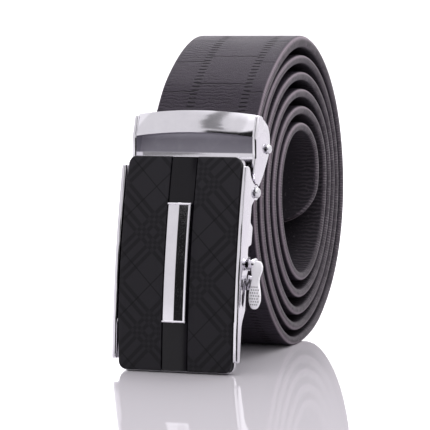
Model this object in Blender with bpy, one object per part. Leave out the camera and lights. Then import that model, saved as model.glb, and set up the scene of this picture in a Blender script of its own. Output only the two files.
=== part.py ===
# Ratchet belt: a leather strap wound in a standing oval coil, with its automatic buckle in front.
# The side view is the YZ plane: -Y is the wearer's front, +Z is up, and X runs across the strap.
# The floor is z = 0, under the coil's lowest winding and the foot of the buckle, and y = 0 is
# where that winding stands on it.
import math

import bmesh
import bpy

for old_object in list(bpy.data.objects):
    bpy.data.objects.remove(old_object, do_unlink=True)

MM = 0.001

# Clearances
GAP = 0.3 * MM                  # between pieces that touch or run on each other
LAP = 0.1 * MM                  # how deep the forms of one casting reach into each other

# Strap
STRAP_WIDTH = 35.0 * MM
STRAP_THICKNESS = 2.75 * MM
STRAP_EDGE_ROUND = 0.9 * MM     # the rounded corner across the strap
STRAP_EDGE_DROP = 0.7 * MM      # the same corner through its thickness
TIP_RADIUS = 13.0 * MM          # corner radius of the free tip
STATION_TURN = math.radians(8.5)
STATION_LENGTH = 8.0 * MM
TIP_STATIONS = 6

# Coil, measured on the outer face of its first winding
COIL_TOP = 94.8 * MM
COIL_BACK = 42.5 * MM
COIL_FRONT = -31.05 * MM
FLOOR_PRESS = 0.2 * MM          # how much the lowest leather is flattened by its weight
# Room left inside each winding before the next one, as shares of the strap's thickness
WINDING_ROOM = (
    # top, back, bottom, front
    (0.64, 0.27, 0.56, 0.89),
    (0.89, 0.18, 0.67, 0.75),
    (0.93, 0.18, 0.89, 0.78),
    (0.93, 0.31, 0.85, 0.78),
    (0.85, 1.29, 0.00, 0.00),
)
TURNS = len(WINDING_ROOM) + 1
# Where each side's tangent lies, from the first winding to the last
TOP_AT = (9.2 * MM, 7.2 * MM)
BACK_AT = (50.0 * MM, 55.0 * MM)
BOTTOM_AT = (-1.3 * MM, 8.2 * MM)
FRONT_AT = (44.0 * MM, 47.0 * MM)
# Exponents of the quarter curves: 2 is an ellipse, less is flatter at the corner
ROUND_CURVE = 2.0
REAR_CURVE = 1.95
LOW_CURVE = (1.76, 1.92)
# The first rise from the clamp to the top leaves at this lean, with these Bezier handles
RISE_LEAN = math.radians(29.0)
RISE_HANDLE = 25.0 * MM
TOP_HANDLE = 7.0 * MM
TIP_DROP = 19.0 * MM            # how far the free tip hangs below the last back tangent
TIP_LEAN = 6.0 * MM             # and how far it leans into the eye
TIP_CURVE = 1.7                 # exponent of that lean
SMOOTHING = 2.5 * MM
ROUTE_STEP = 0.5 * MM

# Ratchet track on the strap's inner face
TRACK_WIDTH = 9.0 * MM
TRACK_BASE = 0.6 * MM
TRACK_TOOTH = 0.6 * MM
TRACK_PITCH = 4.5 * MM
TRACK_TEETH = 38
TRACK_FROM_TIP = 22.0 * MM

# Widths of the buckle and the clamp, from the strap's edge outward
CHEEK_ROOM = 1.8 * MM           # beside the strap inside the clamp
CHEEK_THICKNESS = 1.3 * MM
WALL_THICKNESS = 1.2 * MM
LUG_ROOM = 0.4 * MM             # between a lug and the wall outside it
LUG_THICKNESS = 1.0 * MM
CHEEK_INNER = 0.5 * STRAP_WIDTH + CHEEK_ROOM
WALL_OUTER = CHEEK_INNER + CHEEK_THICKNESS
WALL_INNER = WALL_OUTER - WALL_THICKNESS
LUG_OUTER = WALL_INNER - LUG_ROOM
LUG_INNER = LUG_OUTER - LUG_THICKNESS
BEYOND = WALL_OUTER + 1.0 * MM  # where a bore's cutter ends

# Face of the buckle: an arc in the side view that leans back as it rises
FACE_STANDOFF = 24.6 * MM       # how far in front of the coil its foot stands
FACE_FOOT = COIL_FRONT - FACE_STANDOFF
FACE_LENGTH = 65.0 * MM
FACE_RADIUS = 290.0 * MM
FACE_FOOT_LEAN = math.radians(5.9)
FACE_GROOVE = 0.4 * MM          # between the face plate and each wall at mid-height
FACE_BOW = 0.5 * MM             # its sides swell this much at mid-height
FACE_HALF_WIDTH = WALL_INNER - FACE_GROOVE - FACE_BOW
FACE_CORNER = 2.5 * MM
FACE_THICKNESS = 1.5 * MM
FACE_BEVEL = 0.5 * MM
STRIP_HALF_WIDTH = 4.1 * MM
STRIP_THICKNESS = 0.6 * MM
STRIP_SINK = 0.25 * MM          # the strip lies this far below the face
STRIP_MARGIN = 0.2 * MM         # and ends this far inside the face's ends
INLAY_HALF_WIDTH = 3.8 * MM
INLAY_START = 14.6 * MM
INLAY_LENGTH = 36.0 * MM
INLAY_HEIGHT = 1.1 * MM
INLAY_RIM = 0.6 * MM
INLAY_SLOPE = 0.15 * MM         # the rim's inner side leans in by this much
INLAY_RIDGE = 0.35 * MM

# Buckle frame
BASE_THICKNESS = 1.2 * MM
BASE_MARGIN = 0.3 * MM          # the base shows this much round the face plate
FRAME_FRONT = FACE_THICKNESS + GAP
FRAME_REAR = FRAME_FRONT + BASE_THICKNESS
WALL_DEPTH = 8.8 * MM           # greatest depth of a wall behind the face
WALL_FRONT = 0.15 * MM          # how far the wall's front edge lies behind the face
WALL_ROUND = 0.7 * MM
GROOVE_END = 12.0 * MM          # below this the groove beside the face plate is closed
GROOVE_FLOOR = 0.5 * MM         # behind the face, where the groove is closed
GROOVE_SHARE = 0.6              # share of the face's bow at the top of that stretch
# Rear edge of each wall: share of the face's length up it, share of the wall's depth behind it
WALL_REAR = (
    # up, behind
    (0.049, 0.216),
    (0.212, 0.307),
    (0.243, 0.386),
    (0.292, 0.591),
    (0.455, 0.614),
    (0.483, 0.716),
    (0.537, 0.716),
    (0.548, 0.614),
    (0.591, 0.614),
    (0.603, 0.864),
    (0.689, 0.886),
    (0.705, 0.670),
    (0.788, 0.670),
    (0.812, 0.841),
    (0.837, 0.985),
    (0.868, 0.985),
    (0.889, 0.750),
    (0.911, 0.455),
    (0.958, 0.227),
)
# The crescent slot in each wall's ear, in the same shares
EAR_SLOT = (
    # up, behind
    (0.308, 0.341),
    (0.332, 0.466),
    (0.372, 0.534),
    (0.415, 0.534),
    (0.425, 0.455),
    (0.400, 0.330),
    (0.354, 0.261),
    (0.323, 0.273),
)

# Hinge between the buckle and its clamp, in the same shares
HINGE_PLACE = (0.855, 0.972)
HINGE_PIN_RADIUS = 1.0 * MM
HINGE_BOSS_RADIUS = 2.3 * MM
HINGE_HEAD_RADIUS = 1.65 * MM
LUG_STOP_RISE = 0.812           # share of the face's length where the lug's foot meets the base
LUG_FOOT_HALF = 0.7 * MM

# Clamp. Its places are shares of its height, up the clamped end of the strap and behind it
CLAMP_HEIGHT = 17.2 * MM
CLAMP_LEAN = math.radians(19.0)
CLAMP_FROM_HINGE = (0.323, 0.135)
CLAMP_RUN = 0.55                # the strap lies flat this far up
LOOP_TOP = (1.000, -0.308)
LOOP_FOOT = (0.638, -0.361)
LOOP_THICKNESS = 1.4 * MM
LOOP_CORNER = 1.5 * MM
LOOP_CORNER_DROP = 1.2 * MM     # how far the loop's corners turn back
LOOP_BOW = 1.6 * MM             # how far the bar swells forward at mid-width
LOOP_RISE_TOP = 1.2 * MM        # and how far its edges rise there
LOOP_RISE_FOOT = 0.5 * MM
BRIDGE_LOW = (-0.032, -0.235)
BRIDGE_HIGH = (0.262, -0.262)
BRIDGE_STEP = (0.285, -0.250)
BACKING_THICKNESS = 0.8 * MM
BACKING_TOP = 0.800
CHEEK_REAR = (
    # up, behind
    (0.981, -0.080),
    (0.913, 0.116),
    (0.784, 0.222),
    (0.590, 0.283),
    (0.449, 0.270),
    (0.036, 0.104),
)
CHEEK_HOLLOW = (34.0, 92.0)     # degrees round the hinge where a cheek clears the wall's boss
CHEEK_NOSE = (-0.060, -0.283)
CHEEK_ROUND = 1.0 * MM
LUG_RISE = (
    # up, behind
    (0.045, 0.044),
    (0.240, -0.017),
    (0.080, -0.235),
    (-0.176, -0.237),
    (-0.338, -0.306),
)
TIE_PLACE = (
    # up, behind
    (0.120, 0.022),
    (0.222, -0.029),
    (0.080, -0.165),
    (-0.025, -0.120),
)

# Clamp jaw behind the strap's end
JAW_PIN_UP = 0.523
JAW_PIN_ROOM = 0.15 * MM
JAW_PIN_RADIUS = 0.6 * MM
JAW_KNUCKLE_RADIUS = 1.25 * MM
JAW_HEAD_RADIUS = 1.5 * MM
JAW_SIDE = 0.5 * MM             # the jaw is this much narrower than the strap on each side
JAW_FOOT_UP = 0.060
JAW_THICKNESS = 1.7 * MM
JAW_SPREAD = 0.4 * MM           # and thickens by this much towards its knuckle
JAW_TEETH = 4
JAW_TOOTH = 0.5 * MM
JAW_ROOM = 0.6 * MM             # between the knuckle and the second winding
DENT_SPREAD = 7.0 * MM          # over which the second winding flattens behind the knuckle

# Release lever with its pawl
LEVER_PLACE = (0.511, 0.824)
LEVER_PIN_RADIUS = 0.8 * MM
LEVER_HEAD_RADIUS = 1.4 * MM
LEVER_EYE_RADIUS = 2.0 * MM
KNUCKLE_RADIUS = 1.9 * MM
SLEEVE_HALF_WIDTH = WALL_INNER - 0.5 * MM
PAWL_HALF_WIDTH = 0.5 * STRAP_WIDTH - 2.5 * MM
TAB_LENGTH = 16.0 * MM
TAB_INNER = WALL_OUTER + 0.8 * MM
TAB_WIDTH = 3.7 * MM
TAB_THICKNESS = 1.5 * MM
TAB_FRONT = 1.75 * MM           # how far the tab's front lies before the lever's axis
TAB_ROW = 0.5 * MM              # the width that the table's draw of 1 takes from each side
KNUCKLE_END = TAB_INNER + 1.5 * MM
PIN_COVER = 0.6 * MM            # the blind end of the knuckle's bore
ARM_SIDE = 1.6 * MM             # the arm starts this far beyond the pawl's side
# Places on the lever, as shares of the tab's length: up from the axis, behind it
PAWL = (
    # up, behind
    (-0.038, -0.094),
    (-0.350, -0.131),
    (-0.413, -0.100),
    (-0.388, -0.056),
    (-0.125, 0.038),
    (-0.038, 0.056),
)
ARM = ((-0.213, -0.081), (-0.485, -0.084), (-0.485, 0.019), (-0.213, 0.038))
ARM_ROOT = ((-0.050, -0.056), (-0.288, -0.056), (-0.288, 0.034), (-0.050, 0.075))
TAB_ROWS = (
    # up, draw of each side
    (0.100, 1.3),
    (0.056, 0.5),
    (-0.038, 0.1),
    (-0.163, 0.25),
    (-0.313, 1.0),
    (-0.500, 1.0),
    (-0.625, 0.5),
    (-0.750, 0.2),
    (-0.850, 0.6),
    (-0.900, 1.4),
)

# Riveted pins
PIN_HEAD_HEIGHT = 0.9 * MM
PIN_CROWN = 0.45                # share of the head's radius at its crown
PIN_SHOULDER = (0.35, 0.85)     # share of the height down from the crown, share of the radius
PIN_SIDES = 12
SLEEVE_SIDES = 16
BOSS_SIDES = 20
SHARP = math.radians(35.0)

# Rounding of outlines
GENTLE_BEND = math.radians(14.0)
SIDE_SHARE = 0.42
ROUND_STEPS = 3


def principled(name, colour, roughness, metallic):
    """One Principled material of plain values."""
    material = bpy.data.materials.new(name)
    material.use_nodes = True
    shader = material.node_tree.nodes["Principled BSDF"]
    shader.inputs["Base Color"].default_value = (*colour, 1.0)
    shader.inputs["Roughness"].default_value = roughness
    shader.inputs["Metallic"].default_value = metallic
    return material


def add_object(name, vertices, faces, material, smooth_angle=None):
    """A mesh object with its faces turned outward."""
    mesh = bpy.data.meshes.new(name)
    mesh.from_pydata(vertices, [], faces)
    work = bmesh.new()
    work.from_mesh(mesh)
    bmesh.ops.recalc_face_normals(work, faces=work.faces)
    work.to_mesh(mesh)
    work.free()
    mesh.materials.append(material)
    if smooth_angle is not None:
        mesh.shade_smooth()
        mesh.set_sharp_from_angle(angle=smooth_angle)
    item = bpy.data.objects.new(name, mesh)
    bpy.context.scene.collection.objects.link(item)
    return item


def loft(name, sections, material, smooth_angle=SHARP):
    """Closed sections of equal count joined into one solid, with a flat cap at each end."""
    count = len(sections[0])
    vertices = [point for section in sections for point in section]
    last = (len(sections) - 1) * count
    faces = [tuple(reversed(range(count))), tuple(range(last, last + count))]
    for row in range(len(sections) - 1):
        for column in range(count):
            here = row * count + column
            beside = row * count + (column + 1) % count
            faces.append((here, beside, beside + count, here + count))
    return add_object(name, vertices, faces, material, smooth_angle)


def prism(name, outline, x_from, x_to, material):
    """A side-view outline of (y, z) points, extruded across the strap."""
    sections = [[(x, y, z) for y, z in outline] for x in (x_from, x_to)]
    return loft(name, sections, material, None)


def rod(name, centre, rings, material, sides=PIN_SIDES):
    """A turned piece along X: rings are (x, radius) pairs round the centre (y, z)."""
    sections = []
    for x, radius in rings:
        ring = []
        for side in range(sides):
            angle = 2.0 * math.pi * (side + 0.5) / sides
            ring.append((x, centre[0] + radius * math.cos(angle), centre[1] + radius * math.sin(angle)))
        sections.append(ring)
    return loft(name, sections, material)


def pivot(name, place, parent=None):
    """An empty on a hinge's axis, which carries the pieces that turn about it."""
    item = bpy.data.objects.new(name, None)
    bpy.context.scene.collection.objects.link(item)
    item.parent = parent
    below = parent.location if parent else (0.0, 0.0, 0.0)
    item.location = (0.0, place[0] - below[1], place[1] - below[2])
    return item


def hang(item, axis, place):
    """Parents a piece to the empty on its axis and leaves its shape where it was made."""
    item.parent = axis
    item.location = (0.0, -place[0], -place[1])


def boolean(target, tool, operation):
    """Leaves a live Boolean on the target and hides its tool."""
    modifier = target.modifiers.new(tool.name, "BOOLEAN")
    modifier.operation = operation
    modifier.solver = "EXACT"
    modifier.object = tool
    tool.hide_render = True
    tool.display_type = "WIRE"


def mix(first, last, share):
    """The value a share of the way from first to last."""
    return first + (last - first) * share


def rounded(outline, reach):
    """A closed outline whose corners are cut back by a reach and rounded, gentle bends left alone."""
    result = []
    for before, corner, after in zip(outline[-1:] + outline[:-1], outline, outline[1:] + outline[:1]):
        back, on = math.dist(before, corner), math.dist(corner, after)
        come_y, come_z = corner[0] - before[0], corner[1] - before[1]
        leave_y, leave_z = after[0] - corner[0], after[1] - corner[1]
        if abs(come_y * leave_z - come_z * leave_y) < back * on * math.sin(GENTLE_BEND):
            result.append(corner)
            continue
        start = tuple(mix(a, b, min(reach / back, SIDE_SHARE)) for a, b in zip(corner, before))
        end = tuple(mix(a, b, min(reach / on, SIDE_SHARE)) for a, b in zip(corner, after))
        for step in range(ROUND_STEPS + 1):
            share = step / ROUND_STEPS
            result.append(tuple((1 - share) ** 2 * a + 2 * share * (1 - share) * b + share ** 2 * c
                                for a, b, c in zip(start, corner, end)))
    return result


# The buckle's curved face

def on_face(along, behind):
    """A side-view point at a distance up the face's arc and behind it."""
    lean = FACE_FOOT_LEAN + along / FACE_RADIUS
    lowest = FACE_FOOT_LEAN - BASE_MARGIN / FACE_RADIUS
    centre_y = FACE_FOOT + FACE_RADIUS * math.cos(FACE_FOOT_LEAN)
    centre_z = -(FACE_RADIUS - FRAME_REAR) * math.sin(lowest)
    radius = FACE_RADIUS - behind
    return centre_y - radius * math.cos(lean), centre_z + radius * math.sin(lean)


def on_wall(place):
    """A side-view point of a wall, from its shares of the face's length and the wall's depth."""
    return on_face(place[0] * FACE_LENGTH, place[1] * WALL_DEPTH)


HINGE = on_wall(HINGE_PLACE)
LEVER_PIN = on_wall(LEVER_PLACE)


def on_clamp(place, from_point=None):
    """A side-view point from its shares of the clamp's height, up the strap's end and behind it."""
    point = STRAP_END if from_point is None else from_point
    up, behind = (share * CLAMP_HEIGHT for share in place)
    return (point[0] + up * math.sin(CLAMP_LEAN) + behind * math.cos(CLAMP_LEAN),
            point[1] + up * math.cos(CLAMP_LEAN) - behind * math.sin(CLAMP_LEAN))


STRAP_END = on_clamp(CLAMP_FROM_HINGE, HINGE)
JAW_PIN_BEHIND = 0.5 * STRAP_THICKNESS + GAP + JAW_KNUCKLE_RADIUS + JAW_PIN_ROOM
JAW_PIN = on_clamp((JAW_PIN_UP, JAW_PIN_BEHIND / CLAMP_HEIGHT))


# The coil's centreline

def quarter(start, end, vertical_first, exponent, steps=60):
    """A quarter of a superellipse between two tangent points of the side view."""
    points = []
    for step in range(steps):
        angle = 0.5 * math.pi * step / steps
        fast = math.sin(angle) ** (2.0 / exponent)
        slow = 1.0 - math.cos(angle) ** (2.0 / exponent)
        share_y, share_z = (slow, fast) if vertical_first else (fast, slow)
        points.append((mix(start[0], end[0], share_y), mix(start[1], end[1], share_z)))
    return points


def first_rise(top, steps=80):
    """From the strap's end flat through the clamp, then a Bezier curve to the coil's top."""
    y, z = on_clamp((CLAMP_RUN, 0.0))
    handle = (y + RISE_HANDLE * math.sin(RISE_LEAN), z + RISE_HANDLE * math.cos(RISE_LEAN))
    curve = ((y, z), handle, (top[0] - TOP_HANDLE, top[1]), top)
    points = [STRAP_END]
    for step in range(steps):
        share = step / steps
        left = 1.0 - share
        weights = (left ** 3, 3 * left ** 2 * share, 3 * left * share ** 2, share ** 3)
        points.append(tuple(sum(weight * point[axis] for weight, point in zip(weights, curve))
                            for axis in (0, 1)))
    return points


def clear_of_jaw(rise):
    """The second winding's front rise, pressed flat behind the clamp so that it clears the jaw's knuckle."""
    behind_jaw = JAW_PIN[0] + JAW_KNUCKLE_RADIUS + JAW_ROOM + 0.5 * STRAP_THICKNESS
    nearest = min(rise, key=lambda point: abs(point[1] - JAW_PIN[1]))
    press = max(behind_jaw - nearest[0], 0.0)
    return [(y + press * math.exp(-((z - JAW_PIN[1]) / DENT_SPREAD) ** 2), z) for y, z in rise]


def coil_reaches():
    """The tangent points of each winding's centreline: top, back, bottom and front."""
    half = 0.5 * STRAP_THICKNESS
    inward = [half] * 4
    reaches = []
    for turn in range(TURNS):
        share = turn / (TURNS - 1)
        reaches.append({
            "top": (mix(*TOP_AT, share), COIL_TOP - inward[0]),
            "back": (COIL_BACK - inward[1], mix(*BACK_AT, share)),
            "bottom": (mix(*BOTTOM_AT, share), inward[2]),
            "front": (COIL_FRONT + inward[3], mix(*FRONT_AT, share)),
        })
        if turn < len(WINDING_ROOM):
            inward = [depth + STRAP_THICKNESS * (1.0 + room)
                      for depth, room in zip(inward, WINDING_ROOM[turn])]
    return reaches


def rough_route():
    """The centreline before smoothing, from the clamp to the free tip."""
    reaches = coil_reaches()
    points = first_rise(reaches[0]["top"])
    for turn, reach in enumerate(reaches):
        points += quarter(reach["top"], reach["back"], False, ROUND_CURVE)
        if turn == TURNS - 1:
            break
        points += quarter(reach["back"], reach["bottom"], True, REAR_CURVE)
        points += quarter(reach["bottom"], reach["front"], False, mix(*LOW_CURVE, turn / (TURNS - 2)))
        rise = quarter(reach["front"], reaches[turn + 1]["top"], True, ROUND_CURVE)
        points += clear_of_jaw(rise) if turn == 0 else rise
    back = reaches[-1]["back"]
    steps = 30
    for step in range(steps + 1):
        share = step / steps
        points.append((back[0] - TIP_LEAN * share ** TIP_CURVE, back[1] - TIP_DROP * share))
    return points


def evenly(points, spacing):
    """The same route with its points an equal distance apart."""
    result = [points[0]]
    left = spacing
    for (y0, z0), (y1, z1) in zip(points, points[1:]):
        length = math.hypot(y1 - y0, z1 - z0)
        done = 0.0
        while length - done >= left:
            done += left
            result.append((mix(y0, y1, done / length), mix(z0, z1, done / length)))
            left = spacing
        left -= length - done
    return result


def smoothed(points, spacing):
    """A Gaussian average along the route, with its two ends kept."""
    reach = int(3.0 * SMOOTHING / spacing)
    weights = [math.exp(-0.5 * (step * spacing / SMOOTHING) ** 2) for step in range(-reach, reach + 1)]
    total = sum(weights)
    head = [(2 * points[0][0] - y, 2 * points[0][1] - z) for y, z in points[reach:0:-1]]
    tail = [(2 * points[-1][0] - y, 2 * points[-1][1] - z) for y, z in points[-2:-reach - 2:-1]]
    padded = head + points + tail
    result = []
    for index in range(len(points)):
        window = padded[index:index + 2 * reach + 1]
        result.append((sum(w * p[0] for w, p in zip(weights, window)) / total,
                       sum(w * p[1] for w, p in zip(weights, window)) / total))
    return result


def finished_route():
    """The centreline from the strap's square end to its tip, standing on the floor."""
    route = smoothed(evenly(rough_route(), ROUTE_STEP), ROUTE_STEP)
    lift = 0.5 * STRAP_THICKNESS - FLOOR_PRESS - min(z for _, z in route)
    return [(y, z + lift) for y, z in route]


ROUTE = finished_route()
STRAP_LENGTH = ROUTE_STEP * (len(ROUTE) - 1)


def route_frame(along):
    """The centreline's point and its outward normal at a distance from the clamped end."""
    place = min(max(along / ROUTE_STEP, 0.0), len(ROUTE) - 1.0)
    index = min(int(place), len(ROUTE) - 2)
    share = place - index
    y = mix(ROUTE[index][0], ROUTE[index + 1][0], share)
    z = mix(ROUTE[index][1], ROUTE[index + 1][1], share)
    before = ROUTE[max(index - 1, 0)]
    after = ROUTE[min(index + 2, len(ROUTE) - 1)]
    dy, dz = after[0] - before[0], after[1] - before[1]
    length = math.hypot(dy, dz)
    return y, z, -dz / length, dy / length


def on_strap(along, out):
    """A side-view point at a distance along the strap and outward from its centreline."""
    y, z, normal_y, normal_z = route_frame(along)
    return y + normal_y * out, z + normal_z * out


def strap_side_at(height, out):
    """Where the clamped stretch's face, offset outward by out, crosses a height."""
    along = 0.0
    while on_strap(along, out)[1] < height:
        along += 0.2 * ROUTE_STEP
    return on_strap(along, out)[0]


def floor_edges():
    """The two distances along the strap where its outer face meets the floor and leaves it."""
    edges = []
    below = False
    for index in range(len(ROUTE)):
        along = index * ROUTE_STEP
        now_below = on_strap(along, 0.5 * STRAP_THICKNESS)[1] < 0.0
        if now_below and not below:
            edges.append(along)
        elif below and not now_below:
            edges.append(along - ROUTE_STEP)
        below = now_below
    return edges


def strap_stations():
    """Distances along the strap, closer where it bends more and round the tip."""
    stations = [0.0]
    turned = 0.0
    previous = route_frame(0.0)
    for index in range(1, len(ROUTE)):
        along = index * ROUTE_STEP
        frame = route_frame(along)
        turned += abs(math.atan2(previous[2] * frame[3] - previous[3] * frame[2],
                                 previous[2] * frame[2] + previous[3] * frame[3]))
        previous = frame
        if turned >= STATION_TURN or along - stations[-1] >= STATION_LENGTH:
            stations.append(along)
            turned = 0.0
    stations = sorted(stations + floor_edges())
    rounding = STRAP_LENGTH - TIP_RADIUS
    stations = [along for along in stations if along < rounding - 2.0 * ROUTE_STEP]
    for step in range(TIP_STATIONS + 1):
        stations.append(rounding + TIP_RADIUS * math.sin(0.5 * math.pi * step / TIP_STATIONS))
    return stations


def half_width_at(along):
    """Half the strap's width, which narrows round the corners of the tip."""
    past = along - (STRAP_LENGTH - TIP_RADIUS)
    half = 0.5 * STRAP_WIDTH
    if past <= 0.0:
        return half
    return half - TIP_RADIUS + math.sqrt(max(TIP_RADIUS ** 2 - past ** 2, 0.0))


def make_strap(material):
    """The leather strap: a slab with rounded edges swept along the coil."""
    sections = []
    for along in strap_stations():
        wide = half_width_at(along)
        narrow = wide - STRAP_EDGE_ROUND
        thick = 0.5 * STRAP_THICKNESS
        thin = thick - STRAP_EDGE_DROP
        profile = ((wide, -thin), (wide, thin), (narrow, thick), (-narrow, thick),
                   (-wide, thin), (-wide, -thin), (-narrow, -thick), (narrow, -thick))
        section = []
        for x, out in profile:
            y, z = on_strap(along, out)
            section.append((x, y, max(z, 0.0)))
        sections.append(section)
    return loft("strap", sections, material)


def make_track(material):
    """The toothed ratchet track along the inner face of the free end."""
    outside = -0.5 * STRAP_THICKNESS - GAP
    half = 0.5 * TRACK_WIDTH
    sections = []
    end = STRAP_LENGTH - TRACK_FROM_TIP
    for tooth in range(TRACK_TEETH):
        begin = end - (TRACK_TEETH - tooth) * TRACK_PITCH
        for share, height in ((0.0, TRACK_BASE), (0.72, TRACK_BASE + TRACK_TOOTH), (0.9, TRACK_BASE)):
            along = begin + share * TRACK_PITCH
            top = on_strap(along, outside)
            foot = on_strap(along, outside - height)
            sections.append([(half, *top), (-half, *top), (-half, *foot), (half, *foot)])
    return loft("ratchet_track", sections, material, None)


# The face plate and its trim

def plate_rows(start, end, corner, half_width, bow):
    """Stations up a plate with rounded corners and bowed sides: (along, half width) pairs."""
    rows = []
    for step in range(5):
        angle = 0.5 * math.pi * step / 4.0
        rows.append((start + corner * (1.0 - math.cos(angle)), corner * (1.0 - math.sin(angle))))
    for step in range(1, 12):
        rows.append((mix(start + corner, end - corner, step / 12.0), 0.0))
    for step in range(5):
        angle = 0.5 * math.pi * (1.0 - step / 4.0)
        rows.append((end - corner * (1.0 - math.cos(angle)), corner * (1.0 - math.sin(angle))))
    middle = 0.5 * (start + end)
    reach = 0.5 * (end - start)
    return [(along, half_width + bow * (1.0 - ((along - middle) / reach) ** 2) - cut) for along, cut in rows]


def face_section(along, profile):
    """A section across the face from (x, behind) pairs."""
    return [(x, *on_face(along, behind)) for x, behind in profile]


def make_face_plate(material):
    """The black face, bevelled round its front, with a channel for the centre strip."""
    channel = STRIP_HALF_WIDTH + GAP
    floor = STRIP_SINK + STRIP_THICKNESS + GAP
    sections = []
    for along, half in plate_rows(0.0, FACE_LENGTH, FACE_CORNER, FACE_HALF_WIDTH, FACE_BOW):
        rim = half - FACE_BEVEL
        profile = ((-half, FACE_THICKNESS), (-half, FACE_BEVEL), (-rim, 0.0), (-channel, 0.0),
                   (-channel, floor), (channel, floor), (channel, 0.0), (rim, 0.0),
                   (half, FACE_BEVEL), (half, FACE_THICKNESS))
        sections.append(face_section(along, profile))
    return loft("face_plate", sections, material)


def make_centre_strip(material):
    """The glossy strip down the middle of the face."""
    sections = []
    steps = 12
    foot = STRIP_SINK + STRIP_THICKNESS
    profile = ((-STRIP_HALF_WIDTH, foot), (-STRIP_HALF_WIDTH, STRIP_SINK),
               (STRIP_HALF_WIDTH, STRIP_SINK), (STRIP_HALF_WIDTH, foot))
    for step in range(steps + 1):
        along = mix(STRIP_MARGIN, FACE_LENGTH - STRIP_MARGIN, step / steps)
        sections.append(face_section(along, profile))
    return loft("centre_strip", sections, material)


def make_inlay(material):
    """The bright inlay on the strip: a rim round two facets that meet in a low ridge."""
    base = STRIP_SINK - GAP
    top = base - INLAY_HEIGHT
    valley = top + INLAY_RIM
    inner = INLAY_HALF_WIDTH - INLAY_RIM
    end = INLAY_START + INLAY_LENGTH
    start_facets, end_facets = INLAY_START + INLAY_RIM + INLAY_SLOPE, end - INLAY_RIM - INLAY_SLOPE
    steps = 6
    facets = [mix(start_facets, end_facets, step / steps) for step in range(steps + 1)]
    rows = [(INLAY_START, top, top), (INLAY_START + INLAY_RIM, top, top)]
    rows += [(along, valley, valley - INLAY_RIDGE) for along in facets]
    rows += [(end - INLAY_RIM, top, top), (end, top, top)]
    sections = []
    for along, low, ridge in rows:
        profile = ((-INLAY_HALF_WIDTH, base), (-INLAY_HALF_WIDTH, top), (-inner, top),
                   (-inner + INLAY_SLOPE, low), (0.0, ridge), (inner - INLAY_SLOPE, low),
                   (inner, top), (INLAY_HALF_WIDTH, top), (INLAY_HALF_WIDTH, base))
        sections.append(face_section(along, profile))
    return loft("accent_inlay", sections, material, None)


# The buckle frame

def wall_outline():
    """Side view of a wall: its front edge up the arc, then its stepped rear edge down."""
    steps = 12
    start, end = (row[0] * FACE_LENGTH for row in (WALL_REAR[0], WALL_REAR[-1]))
    front = [on_face(mix(start, end, step / steps), WALL_FRONT) for step in range(steps + 1)]
    return rounded(front + [on_wall(place) for place in reversed(WALL_REAR)], WALL_ROUND)


def arc_bar(name, start, end, x_range, depth_range, material, steps=6):
    """A bar that follows the face's arc, between two distances across and two behind the face."""
    (x_from, x_to), (near, far) = x_range, depth_range
    profile = ((x_from, far), (x_from, near), (x_to, near), (x_to, far))
    places = [mix(start, end, step / steps) for step in range(steps + 1)]
    return loft(name, [face_section(along, profile) for along in places], material)


def make_buckle_frame(material):
    """The cast base plate with its two side walls, ears and bearing eyes."""
    sections = []
    for along, half in plate_rows(-BASE_MARGIN, FACE_LENGTH + BASE_MARGIN, FACE_CORNER,
                                  FACE_HALF_WIDTH + BASE_MARGIN, FACE_BOW):
        sections.append(face_section(along, ((-half, FRAME_REAR), (-half, FRAME_FRONT),
                                            (half, FRAME_FRONT), (half, FRAME_REAR))))
    frame = loft("buckle_frame", sections, material)
    start, end = (row[0] * FACE_LENGTH + LAP for row in (WALL_REAR[0], WALL_REAR[-1]))
    end -= 2.0 * LAP
    for side, tag in ((-1.0, "left"), (1.0, "right")):
        inner, outer = side * WALL_INNER, side * WALL_OUTER
        lapped = side * (WALL_INNER + 0.5 * WALL_THICKNESS)
        boolean(frame, prism("wall_" + tag, wall_outline(), inner, outer, material), "UNION")
        web = arc_bar("web_" + tag, start, end, (side * (FACE_HALF_WIDTH - FACE_CORNER), lapped),
                      (FRAME_FRONT + LAP, FRAME_REAR - LAP), material)
        boolean(frame, web, "UNION")
        groove_side = side * (FACE_HALF_WIDTH + FACE_BOW * GROOVE_SHARE + GAP)
        filler = arc_bar("groove_end_" + tag, start + LAP, start + GROOVE_END, (groove_side, lapped),
                         (GROOVE_FLOOR, FRAME_REAR - 2.0 * LAP), material)
        boolean(frame, filler, "UNION")
        for name, centre, radius, sides in (("hinge_boss_", HINGE, HINGE_BOSS_RADIUS, BOSS_SIDES),
                                            ("lever_eye_", LEVER_PIN, LEVER_EYE_RADIUS, SLEEVE_SIDES)):
            ends = (inner + 0.5 * side * LAP, outer - 0.5 * side * LAP)
            ring = rod(name + tag, centre, [(x, radius) for x in ends], material, sides)
            boolean(frame, ring, "UNION")
    for name, centre, radius in (("hinge_bore", HINGE, HINGE_PIN_RADIUS + GAP),
                                 ("lever_bore", LEVER_PIN, LEVER_PIN_RADIUS + GAP)):
        boolean(frame, rod(name, centre, ((-BEYOND, radius), (BEYOND, radius)), material), "DIFFERENCE")
    slot = [on_wall(place) for place in EAR_SLOT]
    boolean(frame, prism("ear_slot", slot, -BEYOND, BEYOND, material), "DIFFERENCE")
    return frame


# The clamp frame, its keeper loop and its jaw

def around(centre, radius, degrees):
    """A side-view point at a radius round a centre, its angle from +Y towards +Z."""
    angle = math.radians(degrees)
    return centre[0] + radius * math.cos(angle), centre[1] + radius * math.sin(angle)


def arc(centre, radius, start, end, steps):
    """Points of an arc in the side view, from one angle to another."""
    return [around(centre, radius, mix(start, end, step / steps)) for step in range(steps + 1)]


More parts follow.
